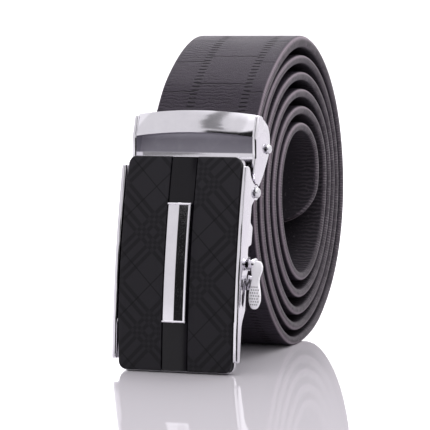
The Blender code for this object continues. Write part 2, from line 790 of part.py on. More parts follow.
def cheek_outline():
    """Side view of a cheek: loop end, eye of the jaw pin, and the hollow that clears the hinge boss."""
    hollow = HINGE_BOSS_RADIUS + GAP + 0.5 * LAP
    outline = [on_clamp(place) for place in (LOOP_TOP, *CHEEK_REAR)]
    outline += arc(HINGE, hollow, *CHEEK_HOLLOW, 5)
    outline += [on_clamp(place) for place in (CHEEK_NOSE, BRIDGE_HIGH, LOOP_FOOT)]
    return rounded(outline, CHEEK_ROUND)


def lug_outline():
    """Side view of an inner lug, from the cheek down to the hinge pin and its stop foot."""
    outline = arc(HINGE, HINGE_BOSS_RADIUS, -100.0, 20.0, 5)
    outline += [on_clamp(place) for place in LUG_RISE]
    for offset in (LUG_FOOT_HALF, -LUG_FOOT_HALF):
        outline.append(on_face(LUG_STOP_RISE * FACE_LENGTH + offset, FRAME_REAR + GAP))
    return outline


def make_keeper(material):
    """The bar of the keeper loop: bowed forward, its edges risen at mid-width, its corners turned back."""
    corner = WALL_OUTER - LOOP_CORNER
    top, foot = on_clamp(LOOP_TOP), on_clamp(LOOP_FOOT)
    slope = math.dist(top, foot)
    rear_y = (top[1] - foot[1]) / slope * LOOP_THICKNESS
    rear_z = -(top[0] - foot[0]) / slope * LOOP_THICKNESS
    steps = 8
    places = [mix(-corner, corner, step / steps) for step in range(steps + 1)]
    rows = [(x, 1.0 - (x / corner) ** 2, 0.0) for x in places]
    rows = [(-WALL_OUTER, 0.0, LOOP_CORNER_DROP), *rows, (WALL_OUTER, 0.0, LOOP_CORNER_DROP)]
    sections = []
    for x, swell, turned in rows:
        forward = turned - LOOP_BOW * swell
        high = (top[0] + forward, top[1] + LOOP_RISE_TOP * swell)
        low = (foot[0] + forward, foot[1] + LOOP_RISE_FOOT * swell)
        sections.append([(x, *low), (x, *high), (x, high[0] + rear_y, high[1] + rear_z),
                         (x, low[0] + rear_y, low[1] + rear_z)])
    return loft("clamp_frame", sections, material)


def bridge_outline():
    """Side view of the bridge: it follows the strap's outer face and carries a thin backing above."""
    seat = 0.5 * STRAP_THICKNESS + GAP
    top = on_clamp((BACKING_TOP, 0.0))[1]
    steps = 5
    heights = [mix(ROUTE[0][1] + GAP, top, step / steps) for step in range(steps + 1)]
    rear = [(strap_side_at(height, seat), height) for height in heights]
    front = [(y - BACKING_THICKNESS, z) for y, z in reversed(rear[2:])]
    return rear + front + [on_clamp(place) for place in (BRIDGE_STEP, BRIDGE_HIGH, BRIDGE_LOW)]


def make_clamp_frame(material):
    """The chrome frame of the clamp: keeper loop in front, cheeks, and a bridge before the strap's end."""
    frame = make_keeper(material)
    lapped = CHEEK_INNER + 0.3 * CHEEK_THICKNESS
    for side, tag in ((-1.0, "left"), (1.0, "right")):
        ends = (side * CHEEK_INNER, side * (WALL_OUTER - 0.5 * LAP))
        boolean(frame, prism("cheek_" + tag, cheek_outline(), *ends, material), "UNION")
    boolean(frame, prism("bridge", bridge_outline(), -lapped, lapped, material), "UNION")
    for side, tag in ((-1.0, "left"), (1.0, "right")):
        lug = prism("lug_" + tag, lug_outline(), side * LUG_INNER, side * LUG_OUTER, material)
        boolean(frame, lug, "UNION")
        tie = prism("tie_" + tag, [on_clamp(place) for place in TIE_PLACE],
                    side * (LUG_INNER + LAP), side * lapped, material)
        boolean(frame, tie, "UNION")
    for name, centre, radius in (("jaw_bore", JAW_PIN, JAW_PIN_RADIUS + GAP),
                                 ("lug_bore", HINGE, HINGE_PIN_RADIUS + GAP)):
        boolean(frame, rod(name, centre, ((-BEYOND, radius), (BEYOND, radius)), material), "DIFFERENCE")
    return frame


def make_jaw(material):
    """The toothed jaw that presses the strap's end against the bridge."""
    face = -(0.5 * STRAP_THICKNESS + GAP)
    half = 0.5 * STRAP_WIDTH - JAW_SIDE
    low = on_clamp((JAW_FOOT_UP, 0.0))[1]
    high = JAW_PIN[1] - JAW_KNUCKLE_RADIUS + GAP
    outline = []
    for tooth in range(JAW_TEETH):
        for share, depth in ((0.0, 0.0), (0.5, JAW_TOOTH)):
            height = mix(high, low, (tooth + share) / (JAW_TEETH - 0.5))
            outline.append((strap_side_at(height, face) + depth, height))
    foot_y = strap_side_at(low, face)
    outline[-1] = (foot_y, low)
    outline.append((foot_y + JAW_THICKNESS, low))
    outline.append((strap_side_at(high, face) + JAW_THICKNESS + JAW_SPREAD, high))
    jaw = prism("clamp_jaw", outline, -half, half, material)
    knuckle = half - 0.5 * LAP
    boolean(jaw, rod("jaw_knuckle", JAW_PIN, ((-knuckle, JAW_KNUCKLE_RADIUS), (knuckle, JAW_KNUCKLE_RADIUS)),
                     material, SLEEVE_SIDES), "UNION")
    bore = JAW_PIN_RADIUS + GAP
    boolean(jaw, rod("knuckle_bore", JAW_PIN, ((-BEYOND, bore), (BEYOND, bore)), material), "DIFFERENCE")
    return jaw


def headed_pin(name, centre, radius, head_radius, material, right_end=None):
    """A riveted pin through both walls, with a domed head at each end or only on the left."""
    seat = WALL_OUTER + GAP
    crown = seat + PIN_HEAD_HEIGHT
    shoulder_drop, shoulder_radius = PIN_SHOULDER
    rings = [(-crown, PIN_CROWN * head_radius),
             (-crown + shoulder_drop * PIN_HEAD_HEIGHT, shoulder_radius * head_radius),
             (-seat, head_radius), (-seat + 0.5 * LAP, radius)]
    if right_end is None:
        rings += [(-x, r) for x, r in reversed(rings)]
    else:
        rings.append((right_end, radius))
    return rod(name, centre, rings, material)


# The release lever

def beside_lever(place, forward=0.0):
    """A side-view point from its shares of the tab's length: up from the lever's axis, behind it."""
    lean = FACE_FOOT_LEAN + LEVER_PLACE[0] * FACE_LENGTH / FACE_RADIUS
    up, behind = place[0] * TAB_LENGTH, place[1] * TAB_LENGTH - forward
    return (LEVER_PIN[0] + up * math.sin(lean) + behind * math.cos(lean),
            LEVER_PIN[1] + up * math.cos(lean) - behind * math.sin(lean))


def make_tab(material):
    """The thumb tab outside the wall, waisted in the middle and rounded at its ends."""
    sections = []
    for up, draw in TAB_ROWS:
        inner = TAB_INNER + draw * TAB_ROW
        outer = TAB_INNER + TAB_WIDTH - draw * TAB_ROW
        near = beside_lever((up, 0.0), TAB_FRONT)
        far = beside_lever((up, 0.0), TAB_FRONT - TAB_THICKNESS)
        sections.append([(inner, *near), (outer, *near), (outer, *far), (inner, *far)])
    return loft("tab", sections, material)


def make_lever(material):
    """The lever: a sleeve and pawl between the walls, an arm past the wall and a thumb tab outside."""
    sleeve = ((-SLEEVE_HALF_WIDTH, KNUCKLE_RADIUS), (SLEEVE_HALF_WIDTH, KNUCKLE_RADIUS))
    lever = rod("release_lever", LEVER_PIN, sleeve, material, SLEEVE_SIDES)
    arm_inner = PAWL_HALF_WIDTH + ARM_SIDE
    for name, outline, x_from, x_to in (
            ("pawl", PAWL, -PAWL_HALF_WIDTH, PAWL_HALF_WIDTH),
            ("arm", ARM, arm_inner, TAB_INNER + 0.3 * TAB_WIDTH),
            ("arm_root", ARM_ROOT, arm_inner - LAP, SLEEVE_HALF_WIDTH - LAP)):
        points = [beside_lever(place) for place in outline]
        boolean(lever, prism(name, points, x_from, x_to, material), "UNION")
    knuckle = ((WALL_OUTER + GAP, KNUCKLE_RADIUS), (KNUCKLE_END, KNUCKLE_RADIUS))
    boolean(lever, rod("knuckle", LEVER_PIN, knuckle, material, SLEEVE_SIDES), "UNION")
    boolean(lever, make_tab(material), "UNION")
    bore = LEVER_PIN_RADIUS + GAP
    cutter = rod("sleeve_bore", LEVER_PIN, ((-BEYOND, bore), (KNUCKLE_END - PIN_COVER, bore)), material)
    boolean(lever, cutter, "DIFFERENCE")
    return lever


LEATHER = principled("leather", (0.045, 0.040, 0.044), 0.55, 0.0)
TRACK_PLASTIC = principled("track_plastic", (0.02, 0.02, 0.021), 0.5, 0.0)
CHROME = principled("chrome", (0.80, 0.79, 0.82), 0.10, 1.0)
FACE_BLACK = principled("face_black", (0.012, 0.012, 0.013), 0.42, 0.0)
GLOSS_BLACK = principled("gloss_black", (0.008, 0.008, 0.009), 0.08, 0.0)

make_strap(LEATHER)
make_track(TRACK_PLASTIC)
make_clamp_frame(CHROME)
make_jaw(CHROME)
headed_pin("jaw_pin", JAW_PIN, JAW_PIN_RADIUS, JAW_HEAD_RADIUS, CHROME)
headed_pin("hinge_pin", HINGE, HINGE_PIN_RADIUS, HINGE_HEAD_RADIUS, CHROME)

buckle_axis = pivot("buckle_axis", HINGE)
lever_axis = pivot("lever_axis", LEVER_PIN, buckle_axis)
hang(make_buckle_frame(CHROME), buckle_axis, HINGE)
hang(make_face_plate(FACE_BLACK), buckle_axis, HINGE)
hang(make_centre_strip(GLOSS_BLACK), buckle_axis, HINGE)
hang(make_inlay(CHROME), buckle_axis, HINGE)
lever_pin_end = KNUCKLE_END - PIN_COVER - GAP
hang(headed_pin("lever_pin", LEVER_PIN, LEVER_PIN_RADIUS, LEVER_HEAD_RADIUS, CHROME, lever_pin_end),
     buckle_axis, HINGE)
hang(make_lever(CHROME), lever_axis, LEVER_PIN)
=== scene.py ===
import math

import bmesh
import bpy
import numpy as np
from mathutils import Matrix, Vector


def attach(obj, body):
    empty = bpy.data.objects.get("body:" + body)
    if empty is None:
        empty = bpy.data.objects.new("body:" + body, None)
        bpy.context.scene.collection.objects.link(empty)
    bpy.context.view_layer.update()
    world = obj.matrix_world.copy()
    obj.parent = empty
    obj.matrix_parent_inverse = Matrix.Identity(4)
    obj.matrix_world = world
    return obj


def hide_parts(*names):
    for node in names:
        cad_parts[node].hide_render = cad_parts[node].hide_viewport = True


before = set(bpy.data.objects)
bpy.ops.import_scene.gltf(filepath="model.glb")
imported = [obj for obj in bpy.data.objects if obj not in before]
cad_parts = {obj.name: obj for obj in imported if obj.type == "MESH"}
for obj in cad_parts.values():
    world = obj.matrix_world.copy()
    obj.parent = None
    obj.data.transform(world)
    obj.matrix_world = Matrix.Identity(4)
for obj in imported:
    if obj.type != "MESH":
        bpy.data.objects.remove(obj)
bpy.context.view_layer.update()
MM = 0.001
scene = bpy.context.scene


# Camera
# A long lens a metre away, a little above the table and on the thumb tab's side of the buckle,
# with a slight roll and a low framing.
LOOK_AT = Vector((0.0, -18.3 * MM, 48.0 * MM))
CAMERA_AZIMUTH = math.radians(24.0)
CAMERA_HEIGHT = math.radians(7.4)
CAMERA_ROLL = math.radians(2.05)
CAMERA_DISTANCE = 1.0
LENS = 271.6
FRAME_SHIFT = (-0.0079, -0.039)

ahead = Vector((-math.sin(CAMERA_AZIMUTH) * math.cos(CAMERA_HEIGHT),
                math.cos(CAMERA_AZIMUTH) * math.cos(CAMERA_HEIGHT), -math.sin(CAMERA_HEIGHT)))
level_right = Vector((math.cos(CAMERA_AZIMUTH), math.sin(CAMERA_AZIMUTH), 0.0))
level_up = level_right.cross(ahead)
right = math.cos(CAMERA_ROLL) * level_right - math.sin(CAMERA_ROLL) * level_up
up = math.sin(CAMERA_ROLL) * level_right + math.cos(CAMERA_ROLL) * level_up
camera_data = bpy.data.cameras.new("camera")
camera_data.lens = LENS
camera_data.sensor_width = 36.0
camera_data.shift_x, camera_data.shift_y = FRAME_SHIFT
camera_data.clip_start = 0.05
camera = bpy.data.objects.new("camera", camera_data)
camera.matrix_world = Matrix((
    (right.x, up.x, -ahead.x, LOOK_AT.x - CAMERA_DISTANCE * ahead.x),
    (right.y, up.y, -ahead.y, LOOK_AT.y - CAMERA_DISTANCE * ahead.y),
    (right.z, up.z, -ahead.z, LOOK_AT.z - CAMERA_DISTANCE * ahead.z),
    (0.0, 0.0, 0.0, 1.0)))
scene.collection.objects.link(camera)
scene.camera = camera


# Studio
# A white room with one soft lamp overhead, and the darker shapes that the polished metal mirrors:
# a screen in front, a lamp's stand beside it and a grey scrim above. The table is white acrylic.

class Wire:
    """An output socket. Arithmetic on it adds Math nodes, so a formula reads as Python.

    A Wire with no socket stands for the node sheet itself and only adds nodes.
    """

    def __init__(self, tree, socket=None):
        self.tree = tree
        self.socket = socket

    def add(self, kind, settings=None, sockets=None, output=0):
        """Adds a node: its settings first, then the values or links of its sockets."""
        node = self.tree.nodes.new("ShaderNode" + kind)
        for name, value in (settings or {}).items():
            setattr(node, name, value)
        for key, value in (sockets or {}).items():
            if isinstance(value, Wire):
                self.tree.links.new(value.socket, node.inputs[key])
            else:
                node.inputs[key].default_value = value
        return Wire(self.tree, node.outputs[output] if len(node.outputs) else None)

    def math(self, operation, *others):
        """A Math node on this value and the others."""
        values = [self, *others]
        return self.add("Math", {"operation": operation}, dict(enumerate(values)))

    def __add__(self, other):
        return self.math("ADD", other)

    def __sub__(self, other):
        return self.math("SUBTRACT", other)

    def __mul__(self, other):
        return self.math("MULTIPLY", other)

    def __truediv__(self, other):
        return self.math("DIVIDE", other)

    def __rsub__(self, other):
        return (self * -1.0) + other

    __radd__ = __add__
    __rmul__ = __mul__

    def smooth(self, low, high):
        """0 below low, 1 above high, eased between; low may be the larger one."""
        span = (self - low) / (high - low)
        span = self.add("Clamp", None, {"Value": span})
        return span * span * (3.0 - span * 2.0)

    def between(self, low, high, soft):
        """1 between low and high with soft edges, 0 elsewhere."""
        return self.smooth(low - soft, low + soft) * self.smooth(high + soft, high - soft)

    def blend(self, first, last):
        """The colour a share of the way from first to last, the share being this value."""
        return self.add("Mix", {"data_type": "RGBA"}, {0: self, 6: first, 7: last}, 2)


world = bpy.data.worlds.new("studio")
world.use_nodes = True
world.node_tree.nodes.clear()
room = Wire(world.node_tree)
direction = room.add("TexCoord", None, None, 0)
east, north, height = (room.add("SeparateXYZ", None, {0: direction}, axis) for axis in (0, 1, 2))
bearing = east.math("ARCTAN2", north * -1.0) * (180.0 / math.pi)
# Bearings are in degrees from straight ahead of the buckle, and heights are sines
SCREEN_BEARINGS, SCREEN_HEIGHTS, SCREEN_DARK = (-19.0, 42.0), (-0.30, 0.41), 0.985
STAND_BEARINGS, STAND_HEIGHTS, STAND_DARK = (-29.0, -19.0), (0.44, 0.92), 0.68
STAND_LEAN, STAND_MIDDLE, STAND_RAGGED = 40.0, 0.62, 9.0
SCRIM_BEARINGS, SCRIM_HEIGHTS, SCRIM_DARK = (-80.0, 4.0), (0.12, 0.95), 0.21
REAR_BEARINGS, REAR_HEIGHTS, REAR_EXTRA = (-105.0, -140.0), (0.10, 0.80), 1.6
DIM_BEARINGS, DIM_HEIGHTS, DIM_DARK = (60.0, 88.0), (-0.5, 0.25), 0.45
CEILING_HEIGHTS, CEILING_EXTRA = (0.70, 1.0), 1.3
WALLS = 1.15
SEEN_DIRECTLY = 1.05
screen_shape = bearing.between(*SCREEN_BEARINGS, 1.5) * height.between(*SCREEN_HEIGHTS, 0.02)
streak_place = room.add("CombineXYZ", None, {0: height * 60.0, 1: bearing * 0.05})
streaks = room.add("TexNoise", None, {"Vector": streak_place, "Scale": 1.0, "Detail": 2.0}) - 0.5
leaning = bearing + (height - STAND_MIDDLE) * STAND_LEAN + streaks * STAND_RAGGED
stand_shape = leaning.between(*STAND_BEARINGS, 0.8) * height.between(*STAND_HEIGHTS, 0.02)
scrim = bearing.between(*SCRIM_BEARINGS, 5.0) * height.between(*SCRIM_HEIGHTS, 0.04)
behind = bearing.smooth(*REAR_BEARINGS) * height.between(*REAR_HEIGHTS, 0.08)
dim_patch = bearing.between(*DIM_BEARINGS, 8.0) * height.between(*DIM_HEIGHTS, 0.1)
brightness = WALLS + height.smooth(*CEILING_HEIGHTS) * CEILING_EXTRA
brightness = brightness * (1.0 - screen_shape * SCREEN_DARK) * (1.0 - stand_shape * STAND_DARK)
brightness = brightness * (1.0 - scrim * SCRIM_DARK)
brightness = brightness * (1.0 - dim_patch * DIM_DARK) * (behind * REAR_EXTRA + 1.0)
seen = room.add("LightPath", None, None, 0)
strength = seen * SEEN_DIRECTLY + (1.0 - seen) * brightness
background = room.add("Background", None, {"Color": (1.0, 0.985, 1.01, 1.0), "Strength": strength})
room.add("OutputWorld", None, {"Surface": background})
scene.world = world
scene.view_settings.view_transform = "Standard"

LAMP_PLACE = Vector((0.1, 0.25, 0.9))
LAMP_AIM = Vector((0.0, 0.0, 0.05))
LAMP_SIZE = 0.7
LAMP_POWER = 4.0
lamp_data = bpy.data.lights.new("overhead", "AREA")
lamp_data.size = LAMP_SIZE
lamp_data.energy = LAMP_POWER
lamp = bpy.data.objects.new("overhead", lamp_data)
lamp_turn = (LAMP_AIM - LAMP_PLACE).to_track_quat("-Z", "Y").to_matrix().to_4x4()
lamp.matrix_world = Matrix.Translation(LAMP_PLACE) @ lamp_turn
scene.collection.objects.link(lamp)

FLOOR_REACH = 4.0
floor_corners = [(-FLOOR_REACH, -FLOOR_REACH, 0.0), (FLOOR_REACH, -FLOOR_REACH, 0.0),
                 (FLOOR_REACH, FLOOR_REACH, 0.0), (-FLOOR_REACH, FLOOR_REACH, 0.0)]
floor_mesh = bpy.data.meshes.new("floor")
floor_mesh.from_pydata(floor_corners, [], [(0, 1, 2, 3)])
floor = bpy.data.objects.new("floor", floor_mesh)
scene.collection.objects.link(floor)


def finish(name, base, roughness, metallic=0.0, **constants):
    """A material with one Principled shader; returns it, its sheet and the shader's node."""
    material = bpy.data.materials.new(name)
    material.use_nodes = True
    shader = material.node_tree.nodes["Principled BSDF"]
    shader.inputs["Base Color"].default_value = (*base, 1.0)
    shader.inputs["Roughness"].default_value = roughness
    shader.inputs["Metallic"].default_value = metallic
    for key, value in constants.items():
        shader.inputs[key.replace("_", " ")].default_value = value
    return material, Wire(material.node_tree), shader


def feed(sheet, shader, key, value):
    """Links a formula to one of the shader's sockets."""
    sheet.tree.links.new(value.socket, shader.inputs[key])


white_top, sheet, shader = finish("white_acrylic", (0.51, 0.49, 0.52), 0.03)
floor_mesh.materials.append(white_top)


# Strap
# One length of split leather 35 mm wide, embossed on its outer face and painted along its cut
# edges, wound six times round itself and standing on its lowest winding.
STRAP_WIDTH = 35.0 * MM
STRAP_THICKNESS = 2.75 * MM
STRAP_CORNER = 1.10 * MM
STRAP_CORNER_DROP = 1.25 * MM
TIP_RADIUS = 13.0 * MM
STRAP_END = (-32.502 * MM, 57.014 * MM)
CLAMP_LEAN = math.radians(19.0)
CLAMP_RUN = 9.46 * MM
RISE_LEAN = math.radians(29.0)
RISE_HANDLE = 25.0 * MM
TOP_HANDLE = 7.0 * MM
COIL_TOP = 94.8 * MM
COIL_BACK = 42.5 * MM
COIL_FRONT = -31.05 * MM
FLOOR_PRESS = 0.2 * MM
WINDING_ROOM = STRAP_THICKNESS * np.array((
    # top, back, bottom, front
    (0.64, 0.27, 0.56, 0.89),
    (0.89, 0.18, 0.67, 0.75),
    (0.93, 0.18, 0.89, 0.78),
    (0.93, 0.31, 0.85, 0.78),
    (0.85, 1.29, 0.00, 0.00),
))
TOP_AT = (9.2 * MM, 7.2 * MM)
BACK_AT = (50.0 * MM, 55.0 * MM)
BOTTOM_AT = (-1.3 * MM, 8.2 * MM)
FRONT_AT = (44.0 * MM, 47.0 * MM)
ROUND_CURVE = 2.0
REAR_CURVE = 1.95
LOW_CURVE = (1.76, 1.92)
TIP_DROP = 19.0 * MM
TIP_LEAN = 6.0 * MM
TIP_CURVE = 1.7
SMOOTHING = 2.5 * MM
BEHIND_JAW = (-23.441 * MM, 64.519 * MM)
DENT_SPREAD = 7.0 * MM
ROUTE_STEP = 0.5 * MM


def quarter(start, end, upright_first, exponent):
    """A quarter superellipse: the fast share is sin(a)^(2/n), the slow one 1 - cos(a)^(2/n)."""
    angle = np.linspace(0.0, 0.5 * np.pi, 60, endpoint=False)
    fast = np.sin(angle) ** (2.0 / exponent)
    slow = 1.0 - np.cos(angle) ** (2.0 / exponent)
    share = np.stack((slow, fast) if upright_first else (fast, slow), axis=1)
    return np.array(start) + (np.array(end) - np.array(start)) * share


def first_rise(top):
    """The strap's end flat in the clamp, then a cubic Bezier curve to the coil's top."""
    lean = np.array((math.sin(CLAMP_LEAN), math.cos(CLAMP_LEAN)))
    leave = np.array(STRAP_END) + CLAMP_RUN * lean
    handle = leave + RISE_HANDLE * np.array((math.sin(RISE_LEAN), math.cos(RISE_LEAN)))
    share = np.linspace(0.0, 1.0, 80, endpoint=False)[:, None]
    left = 1.0 - share
    top = np.array(top)
    curve = (left ** 3 * leave + 3 * left ** 2 * share * handle
             + 3 * left * share ** 2 * (top - (TOP_HANDLE, 0.0)) + share ** 3 * top)
    return np.concatenate((np.array((STRAP_END,)), curve))


def coil_route():
    """The strap's centreline: quarter curves through each winding's four tangents, then the tip.

    It is resampled at equal steps, averaged with a Gaussian along its length and set on the floor.
    """
    half = 0.5 * STRAP_THICKNESS
    steps = np.cumsum(WINDING_ROOM + STRAP_THICKNESS, axis=0)
    inward = half + np.concatenate((np.zeros((1, 4)), steps))
    turns = len(inward)
    parts = []
    for turn in range(turns):
        share = turn / (turns - 1)
        top = (np.interp(share, (0, 1), TOP_AT), COIL_TOP - inward[turn, 0])
        back = (COIL_BACK - inward[turn, 1], np.interp(share, (0, 1), BACK_AT))
        bottom = (np.interp(share, (0, 1), BOTTOM_AT), inward[turn, 2])
        front = (COIL_FRONT + inward[turn, 3], np.interp(share, (0, 1), FRONT_AT))
        opening = first_rise(top) if turn == 0 else quarter(start, top, True, ROUND_CURVE)
        if turn == 1:
            nearest = opening[np.argmin(np.abs(opening[:, 1] - BEHIND_JAW[1])), 0]
            press = max(BEHIND_JAW[0] - nearest, 0.0)
            opening[:, 0] += press * np.exp(-((opening[:, 1] - BEHIND_JAW[1]) / DENT_SPREAD) ** 2)
        parts += [opening, quarter(top, back, False, ROUND_CURVE)]
        if turn < turns - 1:
            low = np.interp(turn / (turns - 2), (0, 1), LOW_CURVE)
            parts += [quarter(back, bottom, True, REAR_CURVE), quarter(bottom, front, False, low)]
        start = front
    share = np.linspace(0.0, 1.0, 31)
    tip = (back[0] - TIP_LEAN * share ** TIP_CURVE, back[1] - TIP_DROP * share)
    parts.append(np.stack(tip, axis=1))
    rough = np.concatenate(parts)
    length = np.concatenate(((0.0,), np.cumsum(np.hypot(*np.diff(rough, axis=0).T))))
    places = np.arange(0.0, length[-1], ROUTE_STEP)
    even = np.stack([np.interp(places, length, rough[:, axis]) for axis in (0, 1)], axis=1)
    reach = int(3.0 * SMOOTHING / ROUTE_STEP)
    weights = np.exp(-0.5 * (np.arange(-reach, reach + 1) * ROUTE_STEP / SMOOTHING) ** 2)
    weights /= weights.sum()
    head = 2.0 * even[0] - even[reach:0:-1]
    tail = 2.0 * even[-1] - even[-2:-reach - 2:-1]
    padded = np.concatenate((head, even, tail))
    route = np.stack([np.convolve(padded[:, axis], weights, "valid") for axis in (0, 1)], axis=1)
    route[:, 1] += half - FLOOR_PRESS - route[:, 1].min()
    return route


ROUTE = coil_route()
STRAP_LENGTH = ROUTE_STEP * (len(ROUTE) - 1)


def along_strap(along):
    """Points and outward unit normals of the centreline at distances from the clamped end."""
    places = np.arange(len(ROUTE)) * ROUTE_STEP
    point = np.stack([np.interp(along, places, ROUTE[:, axis]) for axis in (0, 1)], axis=-1)
    slope = np.gradient(ROUTE, axis=0)
    slope = np.stack([np.interp(along, places, slope[:, axis]) for axis in (0, 1)], axis=-1)
    slope /= np.linalg.norm(slope, axis=-1, keepdims=True)
    return point, np.stack((-slope[..., 1], slope[..., 0]), axis=-1)


def tube_faces(rows, columns, first=0):
    """The faces of a grid whose last column joins its first: quads, then a cap on each end row."""
    row, column = np.meshgrid(np.arange(rows - 1), np.arange(columns), indexing="ij")
    here, above = first + row * columns, first + (row + 1) * columns
    beside = (column + 1) % columns
    quads = np.stack((here + column, here + beside, above + beside, above + column), axis=-1)
    last = first + (rows - 1) * columns
    return [*quads.reshape(-1, 4).tolist(), list(range(first, first + columns))[::-1],
            list(range(last, last + columns))]


def mesh_piece(name, points, faces, material):
    """A smooth object from points and faces, with all its faces turned outward."""
    mesh = bpy.data.meshes.new(name)
    mesh.from_pydata(points.tolist(), [], faces)
    work = bmesh.new()
    work.from_mesh(mesh)
    bmesh.ops.recalc_face_normals(work, faces=work.faces)
    work.to_mesh(mesh)
    work.free()
    mesh.shade_smooth()
    mesh.materials.append(material)
    piece = bpy.data.objects.new(name, mesh)
    scene.collection.objects.link(piece)
    return piece


def grid_piece(name, grid, material):
    """An object from a grid of points, rows by columns, closed round its columns and capped."""
    rows, columns = grid.shape[:2]
    return mesh_piece(name, grid.reshape(-1, 3), tube_faces(rows, columns), material)


def attribute(piece, name, values):
    """Stores one number at each vertex for the material to read."""
    layer = piece.data.attributes.new(name, "FLOAT", "POINT")
    layer.data.foreach_set("value", np.ascontiguousarray(values, dtype=np.float32).ravel())


# The outermost winding bulges a little beyond the solid: distance along the strap, and how far
# the outer and the inner face stand out there
BULGE = np.array(((20.0, 0.0, 0.0), (32.0, 0.9, 0.3), (58.0, 1.5, 0.4), (88.0, 1.1, 0.5),
                  (118.0, 0.9, 0.5), (150.0, 1.3, 0.9), (168.0, 1.0, 0.8), (188.0, 0.0, 0.0))) * MM


def bulge(along, out):
    """How far a row's points move out: eased between the listed places, shared through the slab."""
    stage = np.interp(along, BULGE[:, 0], np.arange(len(BULGE)))
    part = stage - np.floor(stage)
    stage = np.floor(stage) + part * part * (3.0 - 2.0 * part)
    outer, inner = (np.interp(stage, np.arange(len(BULGE)), BULGE[:, face])[:, None]
                    for face in (1, 2))
    return inner + (outer - inner) * (0.5 + out / STRAP_THICKNESS)[None, :]


def make_strap(material):
    """The rounded slab swept along the coil: each row is the section, narrowed round the tip."""
    body = np.arange(0.0, STRAP_LENGTH - TIP_RADIUS, 1.0 * MM)
    turn = np.linspace(0.0, 0.5 * np.pi, 24)
    along = np.concatenate((body, STRAP_LENGTH - TIP_RADIUS + TIP_RADIUS * np.sin(turn)))
    past = np.clip(along - (STRAP_LENGTH - TIP_RADIUS), 0.0, TIP_RADIUS)
    narrowing = TIP_RADIUS - np.sqrt(np.maximum(TIP_RADIUS ** 2 - past ** 2, 0.0))
    # From the right corner's outer edge over the face to the left corner, then back underneath
    angle = np.linspace(0.0, 0.5 * np.pi, 6)
    rim = 0.5 * STRAP_WIDTH - STRAP_CORNER * (1.0 - np.cos(angle))
    rise = 0.5 * STRAP_THICKNESS - STRAP_CORNER_DROP * (1.0 - np.sin(angle))
    flat = np.linspace(1.0, -1.0, 21)[1:-1] * (0.5 * STRAP_WIDTH - STRAP_CORNER)
    across = np.concatenate((rim, flat, -rim[::-1]))
    out = np.concatenate((rise, np.full(len(flat), 0.5 * STRAP_THICKNESS), rise[::-1]))
    across = np.concatenate((across, across[::-1]))
    out = np.concatenate((out, -out[::-1]))
    point, normal = along_strap(along)
    narrowed = np.sign(across) * np.maximum(np.abs(across) - narrowing[:, None], 0.0)
    grid = np.empty((len(along), len(across), 3))
    grid[..., 0] = narrowed
    outward = out[None, :] + bulge(along, out)
    grid[..., 1:] = point[:, None, :] + normal[:, None, :] * outward[..., None]
    grid[..., 2] = np.maximum(grid[..., 2], 0.0)
    piece = grid_piece("strap_leather", grid, material)
    attribute(piece, "along", np.repeat(along, len(across)))
    attribute(piece, "across", narrowed)
    attribute(piece, "out", np.tile(out, len(along)))
    return piece


leather, sheet, shader = finish("embossed_leather", (0.045, 0.040, 0.044), 0.5,
                                Specular_IOR_Level=0.34, Specular_Tint=(1.0, 0.91, 1.03, 1.0))
along = sheet.add("Attribute", {"attribute_name": "along"}, None, 2) * 1000.0
across = sheet.add("Attribute", {"attribute_name": "across"}, None, 2) * 1000.0
out = sheet.add("Attribute", {"attribute_name": "out"}, None, 2) * 1000.0
outer_face = out.smooth(0.95, 1.36)
inner_face = out.smooth(-0.95, -1.36)
cut_edge = 1.0 - outer_face - inner_face
# Fine grain: creases that run across the strap, with a pebble between them
grain_place = sheet.add("CombineXYZ", None, {0: along * 1.0, 1: across * 0.22, 2: out * 0.3})
creases = sheet.add("TexNoise", None, {"Vector": grain_place, "Scale": 1.7, "Detail": 3.0,
                                       "Roughness": 0.6, "Distortion": 0.5})
place = sheet.add("CombineXYZ", None, {0: along, 1: across, 2: out})
pebble = sheet.add("TexVoronoi", {"feature": "DISTANCE_TO_EDGE"}, {"Vector": place, "Scale": 2.2})
wander = sheet.add("TexNoise", None, {"Vector": place, "Scale": 0.30, "Detail": 1.0}) - 0.5
uneven = sheet.add("TexNoise", None, {"Vector": place, "Scale": 0.55, "Detail": 2.0})
patchy = sheet.add("TexNoise", None, {"Vector": place, "Scale": 0.06, "Detail": 1.0})
# Embossing: two columns of short cross bars, and thin staggered cross lines
COLUMN_PLACES = (-6.1, 11.3)
BAR_HALF = 1.20
BAR_PITCH = 1.42
LINE_PITCH = 12.5
WRINKLE_PITCH = 1.3
RIDGE_PITCH = 0.85
bar = ((along + wander * 0.5) / BAR_PITCH).math("FRACT").between(0.32, 0.72, 0.14)
ragged = (uneven - 0.5) * 0.9
left_column, right_column = ((across + ragged).between(middle - BAR_HALF, middle + BAR_HALF, 0.35)
                             for middle in COLUMN_PLACES)
columns = left_column + right_column
line_place = (along + wander * 0.8) / LINE_PITCH
in_middle = across.between(*COLUMN_PLACES, 0.1)
line_middle = (line_place + 0.08).math("FRACT").between(0.488, 0.512, 0.012)
line_side = (line_place + 0.31).math("FRACT").between(0.488, 0.512, 0.012)
lines = line_middle * in_middle + line_side * (1.0 - in_middle)
fine_ribs = (line_place * 10.0 + wander).math("FRACT").between(0.35, 0.65, 0.2)
fine_ribs = fine_ribs * patchy.smooth(0.45, 0.62)
emboss = (bar * columns * uneven.smooth(0.1, 0.5) + lines * 0.9 + fine_ribs * 0.34) * outer_face
emboss = emboss.math("MINIMUM", 1.0)
wrinkles = (along / WRINKLE_PITCH + wander * 1.5).math("FRACT").between(0.3, 0.7, 0.2)
wrinkles = wrinkles * inner_face * across.smooth(8.0, 15.0)
edge_grain = sheet.add("TexNoise", None, {"Vector": place, "Scale": 2.2, "Detail": 2.0})
